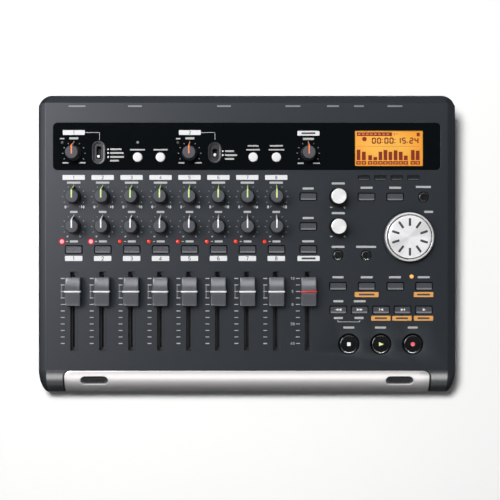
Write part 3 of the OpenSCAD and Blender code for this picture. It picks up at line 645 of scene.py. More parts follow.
trim = Geo()
inner = trim_outline(0.28)
extra = [(x, s) for x in t_cols[1:-1] for s in t_rows[1:-1] if abs(x) < xin(s - 0.55, 126.8, 5.0) and s > T0 + 0.5 and s < T1 - 0.5 and not near_mic(x, s, 1.0)]
for side in (-1, 1):
    for i in range(40):
        x = side * (106.8 - 12.5 + 25.0 * i / 39)
        extra += [(x, s) for s in t_rows[2:-8] if not near_mic(x, s, 0.75) and s < 14.5]
vs, fs = flat(inner, [mic_loop(-1, 0.3), mic_loop(1, 0.3)], 0.0, extra)
trim.add(([nose(x, s, NR) for x, s, _ in vs], fs))
for loops in ([trim_outline(0.28), trim_outline(0.08), trim_outline(0.0), trim_outline(0.0)],
              [mic_loop(-1, 0.3), mic_loop(-1, 0.09), mic_loop(-1, 0.0), mic_loop(-1, 0.0)],
              [mic_loop(1, 0.3), mic_loop(1, 0.09), mic_loop(1, 0.0), mic_loop(1, 0.0)]):
    trim.add(loft([[nose(x, s, NR - d) for x, s in lp] for lp, d in zip(loops, (0.0, 0.09, 0.3, 1.6))], False, False))
trim.make("front_trim_shell", [M_TRIM], "chassis", None, "trim", ["front_trim"], angle=40)

for side, tag in ((-1, "left"), (1, "right")):
    g = Geo()
    loop = rrect(20.8, 8.0, 4.0, 8)
    hexes = []
    for j in range(-2, 3):
        for i in range(-4, 5):
            x, y = i * 2.6 + (1.3 if j % 2 else 0.0), j * 1.36
            dx = max(0.0, abs(x) + 0.9 - 6.3)
            if dx * dx + (abs(y) + 0.5) ** 2 < 3.55 ** 2 or (abs(x) < 6.2 and abs(y) < 3.0):
                hexes.append([(x - 1.06, y), (x - 0.5, y - 0.54), (x + 0.5, y - 0.54), (x + 1.06, y), (x + 0.5, y + 0.54), (x - 0.5, y + 0.54)])
    g.add(flat(loop, hexes, NR - 2.3))
    g.add(flat(loop, hexes, NR - 2.9))
    for h in hexes + [loop]:
        g.add(loft([ring(h, NR - 2.9), ring(h, NR - 2.3)], False, False))
    mt = Matrix.Translation((side * 106.8 * MM, NY * MM, NZ * MM)) @ Matrix.Rotation(math.radians(30.6), 4, "X")
    g.make("mic_grille_" + tag, [M_GRILLE], "chassis", mt, "grille", ["mic_grilles"] if side > 0 else ())

# ------------------------------------------------------------------ window with switch bezels
win = Geo()
w_holes = [lambda o: rrect(47.4 + 2 * o, 24.7 + 2 * o, 0.5 + o, 4, *LCD)]
for p in WHITE_SPOTS:
    w_holes.append(lambda o, p=p: circle(3.9 + o, 32, *p))
for x in (TRACKS[0], TRACKS[4], MASTER):
    w_holes.append(lambda o, x=x: circle(3.9 + o, 24, x, ROW_TRIM))
for p in ((-76.2, 70.8), (-128.8, 70.7), (-48.1, 70.7)):
    w_holes.append(lambda o, p=p: circle(1.15 + o, 20, *p))
for p, ln in ((SWITCH_A, 16.5), (SWITCH_B, 14.8)):
    w_holes.append(lambda o, p=p, ln=ln: rrect(8.9 + 2 * o, ln - 0.5 + 2 * o, 4.45 + o, 10, *p))
win.add(flat(rrect(269.8 - 0.3, 32.5 - 0.3, 2.65, 6, 0, WINDOW_V), [h(0.12) for h in w_holes], -0.05))
win.add(loft([ring(rrect(269.8, 32.5, 2.8, 6, 0, WINDOW_V), -1.5), ring(rrect(269.8, 32.5, 2.8, 6, 0, WINDOW_V), -0.2),
              ring(rrect(269.5, 32.2, 2.65, 6, 0, WINDOW_V), -0.05)], False, False))
for h in w_holes:
    win.add(loft([ring(h(0.12), -0.05), ring(h(0.0), -0.17), ring(h(0.0), -1.5)], False, False))
for p, ln, inner_l, rest, steps in ((SWITCH_A, 16.5, 13.3, 60.9, 2), (SWITCH_B, 14.8, 11.6, 62.0, 1)):
    def track(w, l, z):
        return ring(rrect(w, l, w / 2, 10, *p), z)
    slot_len = steps * 2.7 + 3.4
    slot_loop = rrect(3.4, slot_len, 0.9, 4, p[0], rest + 2.7 * steps / 2)
    win.add(loft([track(9.4, ln, -0.2), track(9.4, ln, 0.2), track(9.25, ln - 0.15, 0.45), track(8.9, ln - 0.5, 0.6), track(7.0, inner_l + 0.8, 0.6),
                  track(6.5, inner_l + 0.3, 0.5), track(6.2, inner_l, 0.2), track(6.2, inner_l, -0.3)], False, False), 1)
    win.add(flat(rrect(6.2, inner_l, 3.1, 10, *p), [slot_loop], -0.3), 1)
    win.add(loft([ring(slot_loop, -0.3), ring(slot_loop, -1.5)], False, False), 1)
win.make("window_plate", [M_WINDOW, M_BEZEL], "chassis", PANEL, "window", ["window_panel"], angle=25)

# ------------------------------------------------------------------ display
lcd = Geo()
lcd.add(block(56, 32.8, 0.6, -8.5, -3.2, 0.2, *LCD), 0)
lcd.add(block(50.4, 27.6, 0.5, -3.3, -1.8, 0.15, *LCD), 0)
lcd.add(block(49.8, 27.0, 0.4, -1.82, -1.72, 0.03, *LCD), 1)


def lpx(cx, cy):
    return mpx(330 + cx / 14.25, 120 + cy / 14.25)


def lcd_rect(x0, y0, x1, y1, mat=2, z=-1.69):
    a, b = lpx(x0, y1), lpx(x1, y0)
    lcd.add(loft([ring([(a[0], a[1]), (b[0], a[1]), (b[0], b[1]), (a[0], b[1])], z - 0.02), ring([(a[0], a[1]), (b[0], a[1]), (b[0], b[1]), (a[0], b[1])], z)]), mat)


SEGS = {"0": "abcdef", "1": "bc", "2": "abged", "3": "abgcd", "4": "fgbc", "5": "afgcd", "6": "afgedc", "7": "abc", "8": "abcdefg", "9": "abfgcd"}


def seven(ch, x, y, w, h, t):
    """One seven-segment figure with its top left corner at x, y."""
    m = y + h / 2
    boxes = {"a": (x + t * .6, y, x + w - t * .6, y + t), "d": (x + t * .6, y + h - t, x + w - t * .6, y + h),
             "g": (x + t * .6, m - t / 2, x + w - t * .6, m + t / 2), "f": (x, y + t * .5, x + t, m - t * .1), "e": (x, m + t * .1, x + t, y + h - t * .5),
             "b": (x + w - t, y + t * .5, x + w, m - t * .1), "c": (x + w - t, m + t * .1, x + w, y + h - t * .5)}
    for s in SEGS[ch]:
        lcd_rect(*boxes[s])


lcd_rect(385, 174, 888, 226)
for i in range(8):
    lcd_rect(402 + 58 * i, 190, 438 + 58 * i, 210, 3, -1.67)
lcd_rect(912, 186, 932, 216, 3)
lcd_rect(946, 186, 966, 204, 3)
lcd_rect(1240, 180, 1285, 230)
lcd.add(loft([ring(circle(1.58, 24, *lpx(495, 270)), -1.71), ring(circle(1.58, 24, *lpx(495, 270)), -1.69)]), 2)
x = 600
for ch in "00:00:15.24":
    if ch in ":.":
        if ch == ":":
            lcd_rect(x - 2, 268, x + 12, 282)
        lcd_rect(x - 2, 312, x + 12, 326)
        x += 32
    else:
        seven(ch, x, 248, 60, 89, 18)
        x += 73
lcd_rect(385, 370, 1282, 376, 3)
for x0, x1, y0 in ((388, 433, 420), (462, 510, 450), (553, 600, 500), (627, 673, 525), (700, 746, 450), (770, 818, 425), (842, 888, 450), (915, 963, 430),
                   (988, 1036, 450), (1060, 1108, 505), (1162, 1208, 425), (1230, 1278, 435)):
    lcd_rect(x0 - 3, y0, x1 + 3, 571)
    lcd_rect(x0 - 9, 583, x1 + 9, 634)
    lcd_rect(x0 + 8, 596, x1 - 8, 621, 3, -1.67)
lcd.make("display_unit", [M_BEZEL, M_LCD, M_LCDINK, M_LCDFAINT], "chassis", PANEL, "display", ["display_module"])

# ------------------------------------------------------------------ lights on the panel
led = Geo()
dome = [(1.42, -6.0), (1.42, 0.15), (1.34, 0.38), (1.12, 0.58), (0.8, 0.71), (0.4, 0.78), (0.0, 0.8)]
for i, x in enumerate(TRACKS):
    led.add(lathe(dome, 24), 0 if i < 2 else 1, (x - 8.3, 1.6))
led.add(lathe(dome, 24), 2, (115.0, -22.8))
# a thin glowing ring lying flat on the panel round each of the two lit lights: painted glow of their light on the panel
for x in TRACKS[:2]:
    led.add(lathe([(1.5, 0.0), (2.25, 0.0), (2.2, 0.06), (1.9, 0.1), (1.45, 0.1)], 32, caps=False), 5, (x - 8.3, 1.6))
small = [(0.98, -6.0), (0.98, -0.3), (0.9, -0.16), (0.0, -0.1)]
led.add(lathe(small, 20), 3, (-76.2, 70.8))
led.add(lathe(small, 20), 4, (-128.8, 70.7))
led.add(lathe(small, 20), 4, (-48.1, 70.7))
led.make("panel_lights", [M_LEDON, M_LEDR, M_LEDA, M_LEDV, M_LEDO, M_LED_HALO_PAINTED], "chassis", PANEL, "led", ["indicator_leds"])

# ------------------------------------------------------------------ printed marks
WH, PA, GR, AM, IN, TK = 0, 1, 2, 3, 4, 5
PRINT_MATS = [M_WHITE, M_PALE, M_GREY, M_AMBER, M_INK, M_TICK]
Z1, Z2 = 0.02, 0.035


class Prints(Geo):
    def shape(self, loop, z, mat):
        self.add((ring(loop, z), [tuple(range(len(loop)))]), mat)

    def pill(self, px, py, w, h, mat=WH, z=0.0, rad=None):
        u, v = mpx(px, py)
        w, h = w * 0.6976, h * 0.6976
        self.shape(rrect(w, h, 0.5 if rad is None else rad, 6, u, v), z + Z1, mat)
        return u, v

    def bar(self, px, py, w, h=2.1, mat=PA, z=0.0, lift=Z1):
        u, v = mpx(px, py)
        self.shape(rrect(w * 0.6976, h * 0.6976, min(0.35, h * 0.3), 3, u, v), z + lift, mat)

    def tick(self, u, v, ang, r0, r1, w, mat=PA, z=0.0):
        c, s = math.cos(ang), math.sin(ang)
        self.add(stroke([(u + c * r0, v + s * r0), (u + c * r1, v + s * r1)], w, z + Z1), mat)

    def dial(self, u, v, r0=7.3, r1=8.2, w=0.5, mat=TK, z=0.0):
        for i in range(11):
            self.tick(u, v, math.radians(90 - 150 + 30 * i), r0, r1 + (0.35 if i in (0, 5, 10) else 0.0), w, mat, z)


pr = Prints()
for i, x in enumerate(TRACKS):
    px = 73.75 + 28.94 * i
    u, v = pr.pill(px, 177.5, 22.3, 4.8)
    pr.number(str(i + 1), u, v, 2.2, 0.36, Z2, IN)
    pr.bar(px, 182.7, 13.5)
    pr.dial(x, ROW_REVERB)
    pr.number("0", *mpx(px - 8.2, 207), 1.6, 0.36, Z1, WH)
    pr.number("10", *mpx(px + 8.7, 207), 1.6, 0.36, Z1, WH)
    pr.bar(px, 212, 7.5)
    pr.dial(x, ROW_PAN)
    for s in (-1, 1):
        u, v = mpx(px + s * 6.3, 236.6)
        pr.shape(circle(0.55, 16, u, v), Z1, PA)
    pr.bar(px - 6.6, 241.5, 2.2, 0.8)
    pr.bar(px + 0.2, 241.5, 8.0)
    u, v = pr.pill(px, 258.5, 17.4, 5.1, rad=0.5)
    pr.number(str(i + 1), u, v, 2.5, 0.42, Z2, IN)
    for k in range(11):
        pr.bar(px - 11, 278.5 + 6.5 * k, 4.0, 0.75 if k % 5 else 1.0)
    pr.bar(px - 12.2, 291.3, 1.4, 14.7, GR, lift=0.012)
for k in range(11):
    pr.bar(297.9, 278.5 + 6.5 * k, 4.0, 0.75)
for txt, py in (("10", 278.5), ("5", 291.5), ("0", 304.6), ("20", 324.0), ("40", 343.5)):
    pr.number(txt, *mpx(292.6, py), 1.7, 0.3, Z1, PA)
for py, w in ((188.6, 11), (218.1, 11), (241.4, 12)):
    pr.bar(308.2, py, w)
pr.pill(308.6, 258.5, 22.2, 5.1, rad=0.5)
pr.bar(308.6, 258.5, 14, 2.0, IN, lift=Z2)
for py in (183.5, 213.2):
    pr.bar(338.3, py, 13)
for py in (207.4, 236.5):
    pr.bar(331.3, py, 2.6, 0.8)
    pr.bar(344.6, py, 2.6, 0.8)
    pr.bar(344.6, py, 0.8, 2.6, lift=0.026)
for px, py, w in ((338.1, 246.9, 13), (366.2, 246.9, 20), (423.4, 187, 15), (366.6, 187.8, 12), (395.2, 187.8, 12), (428.7, 211.9, 9)):
    pr.bar(px, py, w)
for px, w in ((338, 11), (366.8, 12), (395, 12), (423.8, 12)):
    pr.bar(px, 277.3, w)
for px, w in ((366.7, 23.8), (423.6, 19.5)):
    pr.pill(px, 294.6, w, 5.1, AM, rad=0.5)
    pr.bar(px, 294.6, w * 0.66, 1.8, IN, lift=Z2)
for px, w in ((338.4, 10), (359.8, 12)):
    pr.bar(px, 301.3, w)
for px, w in ((338.4, 9), (359.1, 9)):
    pr.bar(px, 318, w)
pr.add(stroke([mpx(338, 320.4), mpx(338, 321.9), mpx(359.8, 321.9), mpx(359.8, 320.4)], 0.4, Z1), PA)
for px in (380.9, 402.0, 423.6):
    pr.pill(px, 318.3, 19.3, 4.9, AM, rad=0.5)
    pr.bar(px, 318.3, 12, 1.8, IN, lift=Z2)
for px, w in ((348.8, 11), (380.6, 11), (412.7, 10)):
    pr.bar(px, 327.6, w, 2.0)
for px, w in ((77, 17), (135, 14), (224, 14), (293, 15), (333, 12), (359, 10), (395, 15)):
    pr.bar(px, 106.2, w, 1.5, TK)
pr.make("panel_prints", PRINT_MATS, "chassis", PANEL, "case", recalc=False)

wp = Prints()
ZW = -0.05
for px, lx, txt in ((73.9, 99.6, "1"), (189.9, 215.0, "2")):
    u, v = wp.pill(px, 132.6, 22, 4.8, z=ZW)
    wp.number(txt, u, v, 2.2, 0.36, ZW + Z2, IN)
    wp.add(stroke([mpx(px + 11.2, 132.6), mpx(lx, 132.6), mpx(lx, 139.8)], 0.36, ZW + Z1), PA)
    wp.bar(px, 138.4, 9, z=ZW)
    wp.bar(px - 11.7, 138.7, 4.5, 1.3, z=ZW)
    wp.bar(px - 8.4, 162.9, 6, 1.4, z=ZW)
    wp.bar(px + 8.3, 162.9, 7, 1.4, z=ZW)
for px, py, w in ((115.9, 149.3, 11.5), (116.9, 153.0, 13.6), (117.1, 157.0, 14), (114.5, 160.7, 9), (229.6, 151.2, 9), (231.1, 155.2, 12), (229.6, 159.0, 9)):
    wp.bar(px, py, w, 1.7, z=ZW)
for px, py in ((108.2, 149.4), (108.2, 153.0), (108.2, 157.0), (222.8, 151.2), (222.8, 155.2)):
    u, v = mpx(px, py)
    wp.shape(circle(0.62, 16, u, v), ZW + Z1, WH)
for px, w, two in ((137.6, 15, 0), (160.5, 14, 0), (253.2, 14, 1), (276.4, 16, 1)):
    wp.bar(px, 149.8, w, 1.4, z=ZW)
    if two:
        wp.bar(px, 145.9, w - 3, 1.4, z=ZW)
wp.pill(308.5, 133.3, 22, 4.8, z=ZW)
wp.bar(308.5, 133.3, 14, 1.8, IN, z=ZW, lift=Z2)
wp.bar(308.5, 138.9, 11, z=ZW)
wp.bar(300.6, 163.3, 6, 1.4, z=ZW)
wp.bar(316.5, 163.3, 7, 1.4, z=ZW)
for x in (TRACKS[0], TRACKS[4], MASTER):
    wp.dial(x, ROW_TRIM, z=ZW)
wp.make("window_prints", PRINT_MATS, "chassis", PANEL, "window", recalc=False)

# ------------------------------------------------------------------ faders
def fader_height(v):
    """Saddle of the cap: a hollow slope on the far half, a nearly level near half, both rising to the line."""
    if v >= 0:
        if v < 1.5:
            return 9.5 + 0.9 * (1 - v / 1.5) ** 1.6 + 0.62 * (1.5 - v) * 0.2
        a, t = math.radians(26.0), min(1.0, (v - 1.5) / 7.5)
        return 9.5 - 7.5 * (math.tan(a) * t - (math.tan(a) - math.tan(math.radians(11.5))) * t * t / 2)
    s = max(0.0, 1 + v / 2.2)
    e = max(0.0, (-v - 7.8) / 2.2)
    return 8.5 + 0.03 * (v + 2.2) + 1.9 * s ** 3 + 0.4 * e * e


def fader_piece(name, u, line_mat):
    g = Geo()
    vs = [-10.0, -9.96, -9.85, -9.7, -9.5, -9.2] + [-9 + 0.4 * i for i in range(46)] + [9.2, 9.5, 9.7, 9.85, 9.96, 10.0]
    rings = []
    for v in vs:
        z = min(10.35, fader_height(v))
        e = max(0.0, abs(v) - 9.0)
        drop = 1 - math.sqrt(max(0.0, 1 - e * e))
        z -= 0.9 * drop
        hw = 5.3 - 0.5 * drop
        sec = [(-hw, 1.3)]
        for k in range(7):
            a = math.pi / 2 * k / 6
            sec.append((-hw + 0.8 * (1 - math.cos(a)), z - 0.8 + 0.8 * math.sin(a)))
        sec += [(-hw / 2, z), (0.0, z)]
        sec += [(-x, zz) for x, zz in reversed(sec[:-1])]
        rings.append([(x, v, zz) for x, zz in reversed(sec)])
    g.add(loft(rings), 0)
    hw, z = 5.75, 10.55
    sec = [(-hw, 5.2), (-hw, z - 1.0), (-hw + 0.3, z - 0.3), (-hw + 1.0, z), (hw - 1.0, z), (hw - 0.3, z - 0.3), (hw, z - 1.0), (hw, 5.2)]
    rings = []
    for v, k in ((-0.56, 0.2), (-0.44, 0.0), (0.44, 0.0), (0.56, 0.2)):
        rings.append([(x * (1 - k / hw), v, zz - k) for x, zz in reversed(sec)])
    g.add(loft(rings), 1)
    g.add(block(1.2, 4.0, 0.2, -7.5, 6.0, 0.1), 2)
    return g.make(name + "_cap", [M_FADER, line_mat, M_NICKEL], name, on_panel(u, FADER_V), "fader", [name], angle=40)


for i, x in enumerate(TRACKS):
    fader_piece("fader_%d" % (i + 1), x, M_FLINE)
fader_piece("master_fader", MASTER, M_FRED)

# ------------------------------------------------------------------ knobs
def knob_piece(name, u, v, line_mat):
    g = Geo()
    prof = [(3.05, 0.75), (4.9, 0.75), (5.2, 0.85), (5.3, 1.1)]
    for k in range(8):
        t = k / 7
        prof.append((5.3 - 0.72 * t, 1.3 + 11.4 * t))
    side = prof[:]
    g.add(lathe(side + [(4.54, 12.95), (4.46, 13.28), (4.22, 13.55)], 96, 16, 0.16, (1.25, 12.8)), 0)
    g.add(lathe([(4.22, 13.55), (4.1, 13.6), (3.9, 13.63), (2.0, 13.63), (0.0, 13.63)], 96), 1)
    fin = [(3.6, 0.9), (7.2, 0.9), (7.45, 1.2), (4.75, 13.1), (4.3, 13.62), (-1.2, 13.62), (-1.3, 13.4), (3.0, 12.6)]
    half = [0.42, 0.42, 0.45, 0.62, 0.66, 0.66, 0.6, 0.6]
    rings = []
    for s in (-1, -0.62, 0.62, 1):
        rr = []
        for (vv, ww), h in zip(fin, half):
            k = 0.0 if abs(s) < 1 else 0.14
            rr.append((s * h * 1.25, vv - (k if vv > 3.7 else 0), ww - (k if ww > 2 else 0)))
        rings.append(rr)
    g.add(loft(rings), 0)
    line = [(-1.1, 13.69), (4.3, 13.69), (4.62, 13.5), (4.84, 13.1), (7.5, 1.4)]
    wid = [0.48, 0.48, 0.48, 0.46, 0.34]
    top = [[(-w, a, b), (w, a, b)] for (a, b), w in zip(line, wid)]
    low = [[(w, a - 0.12, b - 0.2), (-w, a - 0.12, b - 0.2)] for (a, b), w in zip(line, wid)]
    g.add(loft([[t[0], t[1], l[0], l[1]] for t, l in zip(top, low)]), 2)
    g.add(lathe([(0.0, -9.4), (2.8, -9.4), (3.0, -9.2), (3.0, 8.6), (2.8, 8.8), (0.0, 8.8)], 24), 3)
    return g.make(name + "_cap", [M_KNOB, M_KTOP, line_mat, M_NICKEL], name, on_panel(u, v), "knob", [name])


for i, x in enumerate(TRACKS):
    knob_piece("reverb_knob_%d" % (i + 1), x, ROW_REVERB, M_PGREEN)
    knob_piece("pan_knob_%d" % (i + 1), x, ROW_PAN, M_PWHITE)
knob_piece("trim_knob_a", TRACKS[0], ROW_TRIM, M_PORANGE)
knob_piece("trim_knob_b", TRACKS[4], ROW_TRIM, M_PORANGE)
knob_piece("phones_knob", MASTER, ROW_TRIM, M_PORANGE)


def encoder_piece(name, u, v):
    g = Geo()
    g.add(lathe([(3.05, 0.75), (6.2, 0.75), (6.45, 0.95), (6.48, 1.3), (6.2, 6.9), (6.1, 7.35), (5.95, 7.6), (5.84, 7.7), (5.8, 8.1), (5.76, 11.4), (5.7, 11.8),
                 (5.6, 12.05)], 96, 24, 0.2, (8.0, 11.5)), 0)
    g.add(lathe([(5.2, 12.02), (5.2, 12.35), (5.12, 12.62), (4.95, 12.77), (4.7, 12.82), (4.3, 12.8), (2.0, 12.72), (0.0, 12.7)], 96), 1)
    g.add(lathe([(0.0, -9.4), (2.8, -9.4), (3.0, -9.2), (3.0, 8.6), (2.8, 8.8), (0.0, 8.8)], 24), 2)
    return g.make(name + "_cap", [M_ESIDE, M_ETOP, M_NICKEL], name, on_panel(u, v), "eq_knob", [name])


encoder_piece("eq_high_knob", *EQ_SPOTS[0])
encoder_piece("eq_low_knob", *EQ_SPOTS[1])

wheel = Geo()
wheel.add(lathe([(3.05, 0.2), (16.65, 0.2), (17.0, 0.45), (17.1, 0.8), (17.1, 5.5), (16.97, 5.95), (16.65, 6.35), (16.2, 6.5), (15.9, 6.5), (15.72, 6.42),
                 (15.66, 6.2), (15.66, 5.6)], 128), 0)
# the groove between rim and disc takes the near-black: painted shade in the groove
wheel.add(lathe([(15.66, 5.6), (15.0, 5.6), (14.87, 5.8)], 128), 4)
wheel.add(lathe([(14.87, 5.8), (14.87, 6.95), (14.75, 7.28), (14.45, 7.46), (14.1, 7.5), (11.0, 7.42), (7.0, 7.36), (3.0, 7.34), (0.0, 7.34)], 128), 1)
for i in range(10):
    a = math.pi / 2 + 2 * math.pi * i / 10
    rings = []
    for ins, z in ((0.0, 7.38), (0.0, 7.47), (0.12, 7.52)):
        rings.append(ring(box2(7.6 + ins, 13.0 - ins, -0.8 + ins, 0.8 - ins, 0.5 - ins, 5), z))
    wheel.add(loft(rings), 2, rot=a)
wheel.add(lathe([(0.0, -9.4), (2.8, -9.4), (3.0, -9.2), (3.0, 5.8), (0.0, 5.8)], 24), 3)
wheel.make("data_wheel_dial", [M_RIM, M_WHEEL, M_MARK, M_NICKEL, M_RECESS_SHADE], "data_wheel", on_panel(*WHEEL), "wheel", ["data_wheel"], angle=25)


# ------------------------------------------------------------------ keys
def keycap(w, h, z1, front=1.25, drop=0.46, bev=0.24, r=0.7):
    """A key with softened edges and a wider slope along its near edge."""
    rings = [ring(rrect(w, h, r), -3.6), ring(rrect(w, h, r), z1 - drop)]
    for t in (0.35, 0.7, 1.0):
        i = bev * (1 - math.cos(math.pi / 2 * t)) if t < 1 else bev
        rings.append(ring(box2(-w / 2 + i, w / 2 - i, -h / 2 + front * t, h / 2 - i, max(0.1, r - i)), z1 - drop * (1 - t)))
    rings.append(ring(box2(-w / 2 + bev + 0.35, w / 2 - bev - 0.35, -h / 2 + front + 0.3, h / 2 - bev - 0.35, 0.4), z1 - 0.02))
    return loft(rings)


def plunger(w, h):
    return block(w + 2.4, h + 2.4, 0.6, -4.3, -3.5, 0.1)


STEM = lathe([(0.0, -5.5), (1.0, -5.5), (1.1, -5.4), (1.1, -4.0), (0.0, -4.0)], 16)


def key_group(name, spots, w=KEY_W, h=KEY_D, z1=1.3, front=1.25, drop=0.46, icons=(), rounds=(), face=None, bev=0.24):
    g = Geo()
    for u, v in spots:
        g.add(keycap(w, h, z1, front, drop, bev), 0, (u, v))
        g.add(plunger(w, h), 2, (u, v))
        g.add(STEM, 2, (u, v))
    for part, at in icons:
        g.add(part, 1, at)
    for u, v in rounds:
        round_cap(g, u, v)
    return g.make(name + "_caps", [face or M_KEY, M_WHITE, M_KEYD], name, PANEL, "key", [name])


def round_cap(g, u, v, mat=2):
    g.add(lathe([(3.25, -3.6)] + [(2.6 + 0.65 * math.cos(math.radians(9 * k)), 0.34 + 0.65 * math.sin(math.radians(9 * k))) for k in range(11)] + [(2.1, 0.96), (1.1, 0.91), (0.0, 0.89)], 48), mat, (u, v))
    g.add(lathe([(0.0, -4.3), (4.35, -4.3), (4.45, -4.2), (4.45, -3.55), (4.35, -3.45), (0.0, -3.45)], 40), mat, (u, v))
    g.add(lathe([(0.0, -5.5), (1.5, -5.5), (1.6, -5.4), (1.6, -4.0), (0.0, -4.0)], 16), mat, (u, v))


def tri(x0, x1, h, z0, z1):
    lp = [(x0, -h), (x1, 0.0), (x0, h)] if x1 > x0 else [(x0, h), (x1, 0.0), (x0, -h)]
    return loft([ring(lp, z0), ring(lp, z1)])


def rect_icon(x0, x1, h, z0, z1):
    lp = [(x0, -h), (x1, -h), (x1, h), (x0, h)]
    return loft([ring(lp, z0), ring(lp, z1)])


icons = []
zi = (1.27, 1.31)
for k, p in enumerate(LOCATE_SPOTS):
    at = (p[0], p[1] + 0.25)
    if k == 0:
        icons += [(tri(0.0, -2.1, 0.95, *zi), at), (tri(2.1, 0.0, 0.95, *zi), at)]
    elif k == 1:
        icons += [(tri(-2.1, 0.0, 0.95, *zi), at), (tri(0.0, 2.1, 0.95, *zi), at)]
    elif k == 2:
        icons += [(rect_icon(-1.5, -1.0, 0.95, *zi), at), (tri(1.3, -0.8, 0.9, *zi), at)]
    elif k == 3:
        icons += [(tri(-1.3, 0.8, 0.9, *zi), at), (rect_icon(1.0, 1.5, 0.95, *zi), at)]
    else:
        icons += [(tri(-0.9, 1.1, 0.95, *zi), at)]
key_group("rec_keys", REC_SPOTS)
key_group("mixer_keys", MIXER_SPOTS)
key_group("edit_keys", EDIT_SPOTS)
key_group("locate_keys", LOCATE_SPOTS, icons=icons)
key_group("function_keys", F_SPOTS, 7.7, 2.7, 0.9, 0.55, 0.22, face=M_FKEY, bev=0.1)
key_group("menu_keys", MENU_SPOTS, rounds=[ROUND_SPOT])
g = Geo()
for u, v in TOOL_SPOTS:
    round_cap(g, u, v, 0)
gloss_keys = [g.make("tool_keys_caps", [M_KEYD], "tool_keys", PANEL, "round_key", ["tool_keys"])]

g = Geo()
for u, v in WHITE_SPOTS:
    g.add(lathe([(3.28, -3.6), (3.28, 0.9), (3.22, 1.25), (3.05, 1.5), (2.75, 1.63), (2.2, 1.68), (0.0, 1.7)], 48), 0, (u, v))
    g.add(lathe([(0.0, -4.3), (4.55, -4.3), (4.65, -4.2), (4.65, -3.5), (4.55, -3.4), (0.0, -3.4)], 40), 1, (u, v))
    g.add(lathe([(0.0, -5.5), (1.5, -5.5), (1.6, -5.4), (1.6, -4.0), (0.0, -4.0)], 16), 1, (u, v))
g.make("white_keys_caps", [M_KEYW, M_KEYD], "white_keys", PANEL, "white_key", ["white_keys"])

for name, (u, v) in TRANSPORT.items():
    g = Geo()
    g.add(lathe([(6.25, -3.6)] + [(5.65 + 0.6 * math.cos(math.radians(7.5 * k)), 0.96 + 0.6 * math.sin(math.radians(7.5 * k))) for k in range(13)] + [(4.7, 1.52), (3.4, 1.45), (1.8, 1.39), (0.0, 1.37)], 72), 0)
    g.add(lathe([(0.0, -4.3), (7.3, -4.3), (7.45, -4.2), (7.45, -3.55), (7.3, -3.45), (0.0, -3.45)], 48), 0)
    g.add(lathe([(0.0, -5.5), (1.5, -5.5), (1.6, -5.4), (1.6, -4.0), (0.0, -4.0)], 16), 0)
    if name == "stop_key":
        g.add(block(2.6, 2.6, 0.15, 1.2, 1.45, 0.03), 1)
        mt = M_ISTOP
    elif name == "play_key":
        lp = [(-1.4, -1.42), (1.9, 0.0), (-1.4, 1.42)]
        g.add(loft([ring(lp, 1.2), ring(lp, 1.45)]), 1)
        mt = M_IPLAY
    else:
        g.add(lathe([(1.5, 1.2), (1.5, 1.42), (1.44, 1.45), (0.0, 1.45)], 36), 1)
        mt = M_IREC
    gloss_keys.append(g.make(name + "_cap", [M_TRANS, mt], name, on_panel(u, v), "transport", [name]))

# ------------------------------------------------------------------ slide levers
for name, (u, _), v in (("input_switch_a", SWITCH_A, 60.9), ("input_switch_b", SWITCH_B, 62.0)):
    g = Geo()
    g.add(block(2.2, 2.2, 0.3, -7.6, 1.0, 0.2), 0)
    g.add(lathe([(1.05, 0.8), (1.05, 1.25), (0.95, 1.42), (0.7, 1.5), (0.0, 1.5)], 24), 1)
    g.make(name + "_lever", [M_BEZEL, M_PWHITE], name, on_panel(u, v), "lever", [name])

OUT = Matrix(((1, 0, 0, 0), (0, 0, 1, 0), (0, -1, 0, 0), (0, 0, 0, 1)))


def rear_at(x, z):
    """Local z points out of the rear plate."""
    return Matrix.Translation((x * MM, 0, z * MM)) @ OUT


g = Geo()
g.add(block(4.0, 3.2, 0.3, 84.5, 95.0, 0.35), 0)
for k in (-1.0, 0.0, 1.0):
    g.add(block(0.35, 2.4, 0.1, 94.9, 95.02, 0.03, k, 0), 0)
g.make("standby_lever", [M_SOCK], "standby_switch", rear_at(101.6, 16), "standby", ["standby_switch"])

# ------------------------------------------------------------------ rear and front sockets
sock = Geo()


def tube(r_out, r_in, z0, z1, z_floor, bev=0.25, n=48):
    """A bush with a bore: profile goes up the outside, over the lip and down the bore."""
    return lathe([(r_out, z0), (r_out, z1 - bev), (r_out - bev, z1), (r_in + bev * 0.8, z1), (r_in, z1 - bev * 0.8), (r_in, z_floor), (0.0, z_floor)], n)


def place_rear(part, mat, x, z):
    m = rear_at(x, z)
    vs, fs = part
    out = []
    for p in vs:
        q = m @ Vector((p[0] * MM, p[1] * MM, p[2] * MM))
        out.append((q.x / MM, q.y / MM, q.z / MM))
    sock.add((out, fs), mat)


def open_box(w, h, wi, hi, y0, y1, y_in, cx, cz, ci):
    """A box lying along y, its mouth at y0 open as far as y_in."""
    def rect(a, b, y, c):
        return [(cx - a / 2, y, c - b / 2), (cx + a / 2, y, c - b / 2), (cx + a / 2, y, c + b / 2), (cx - a / 2, y, c + b / 2)]
    return loft([rect(w, h, y1, cz), rect(w, h, y0 + 0.15, cz), rect(w - 0.3, h - 0.3, y0, cz), rect(wi + 0.2, hi + 0.2, y0, ci), rect(wi, hi, y0 + 0.15, ci), rect(wi, hi, y_in, ci)])


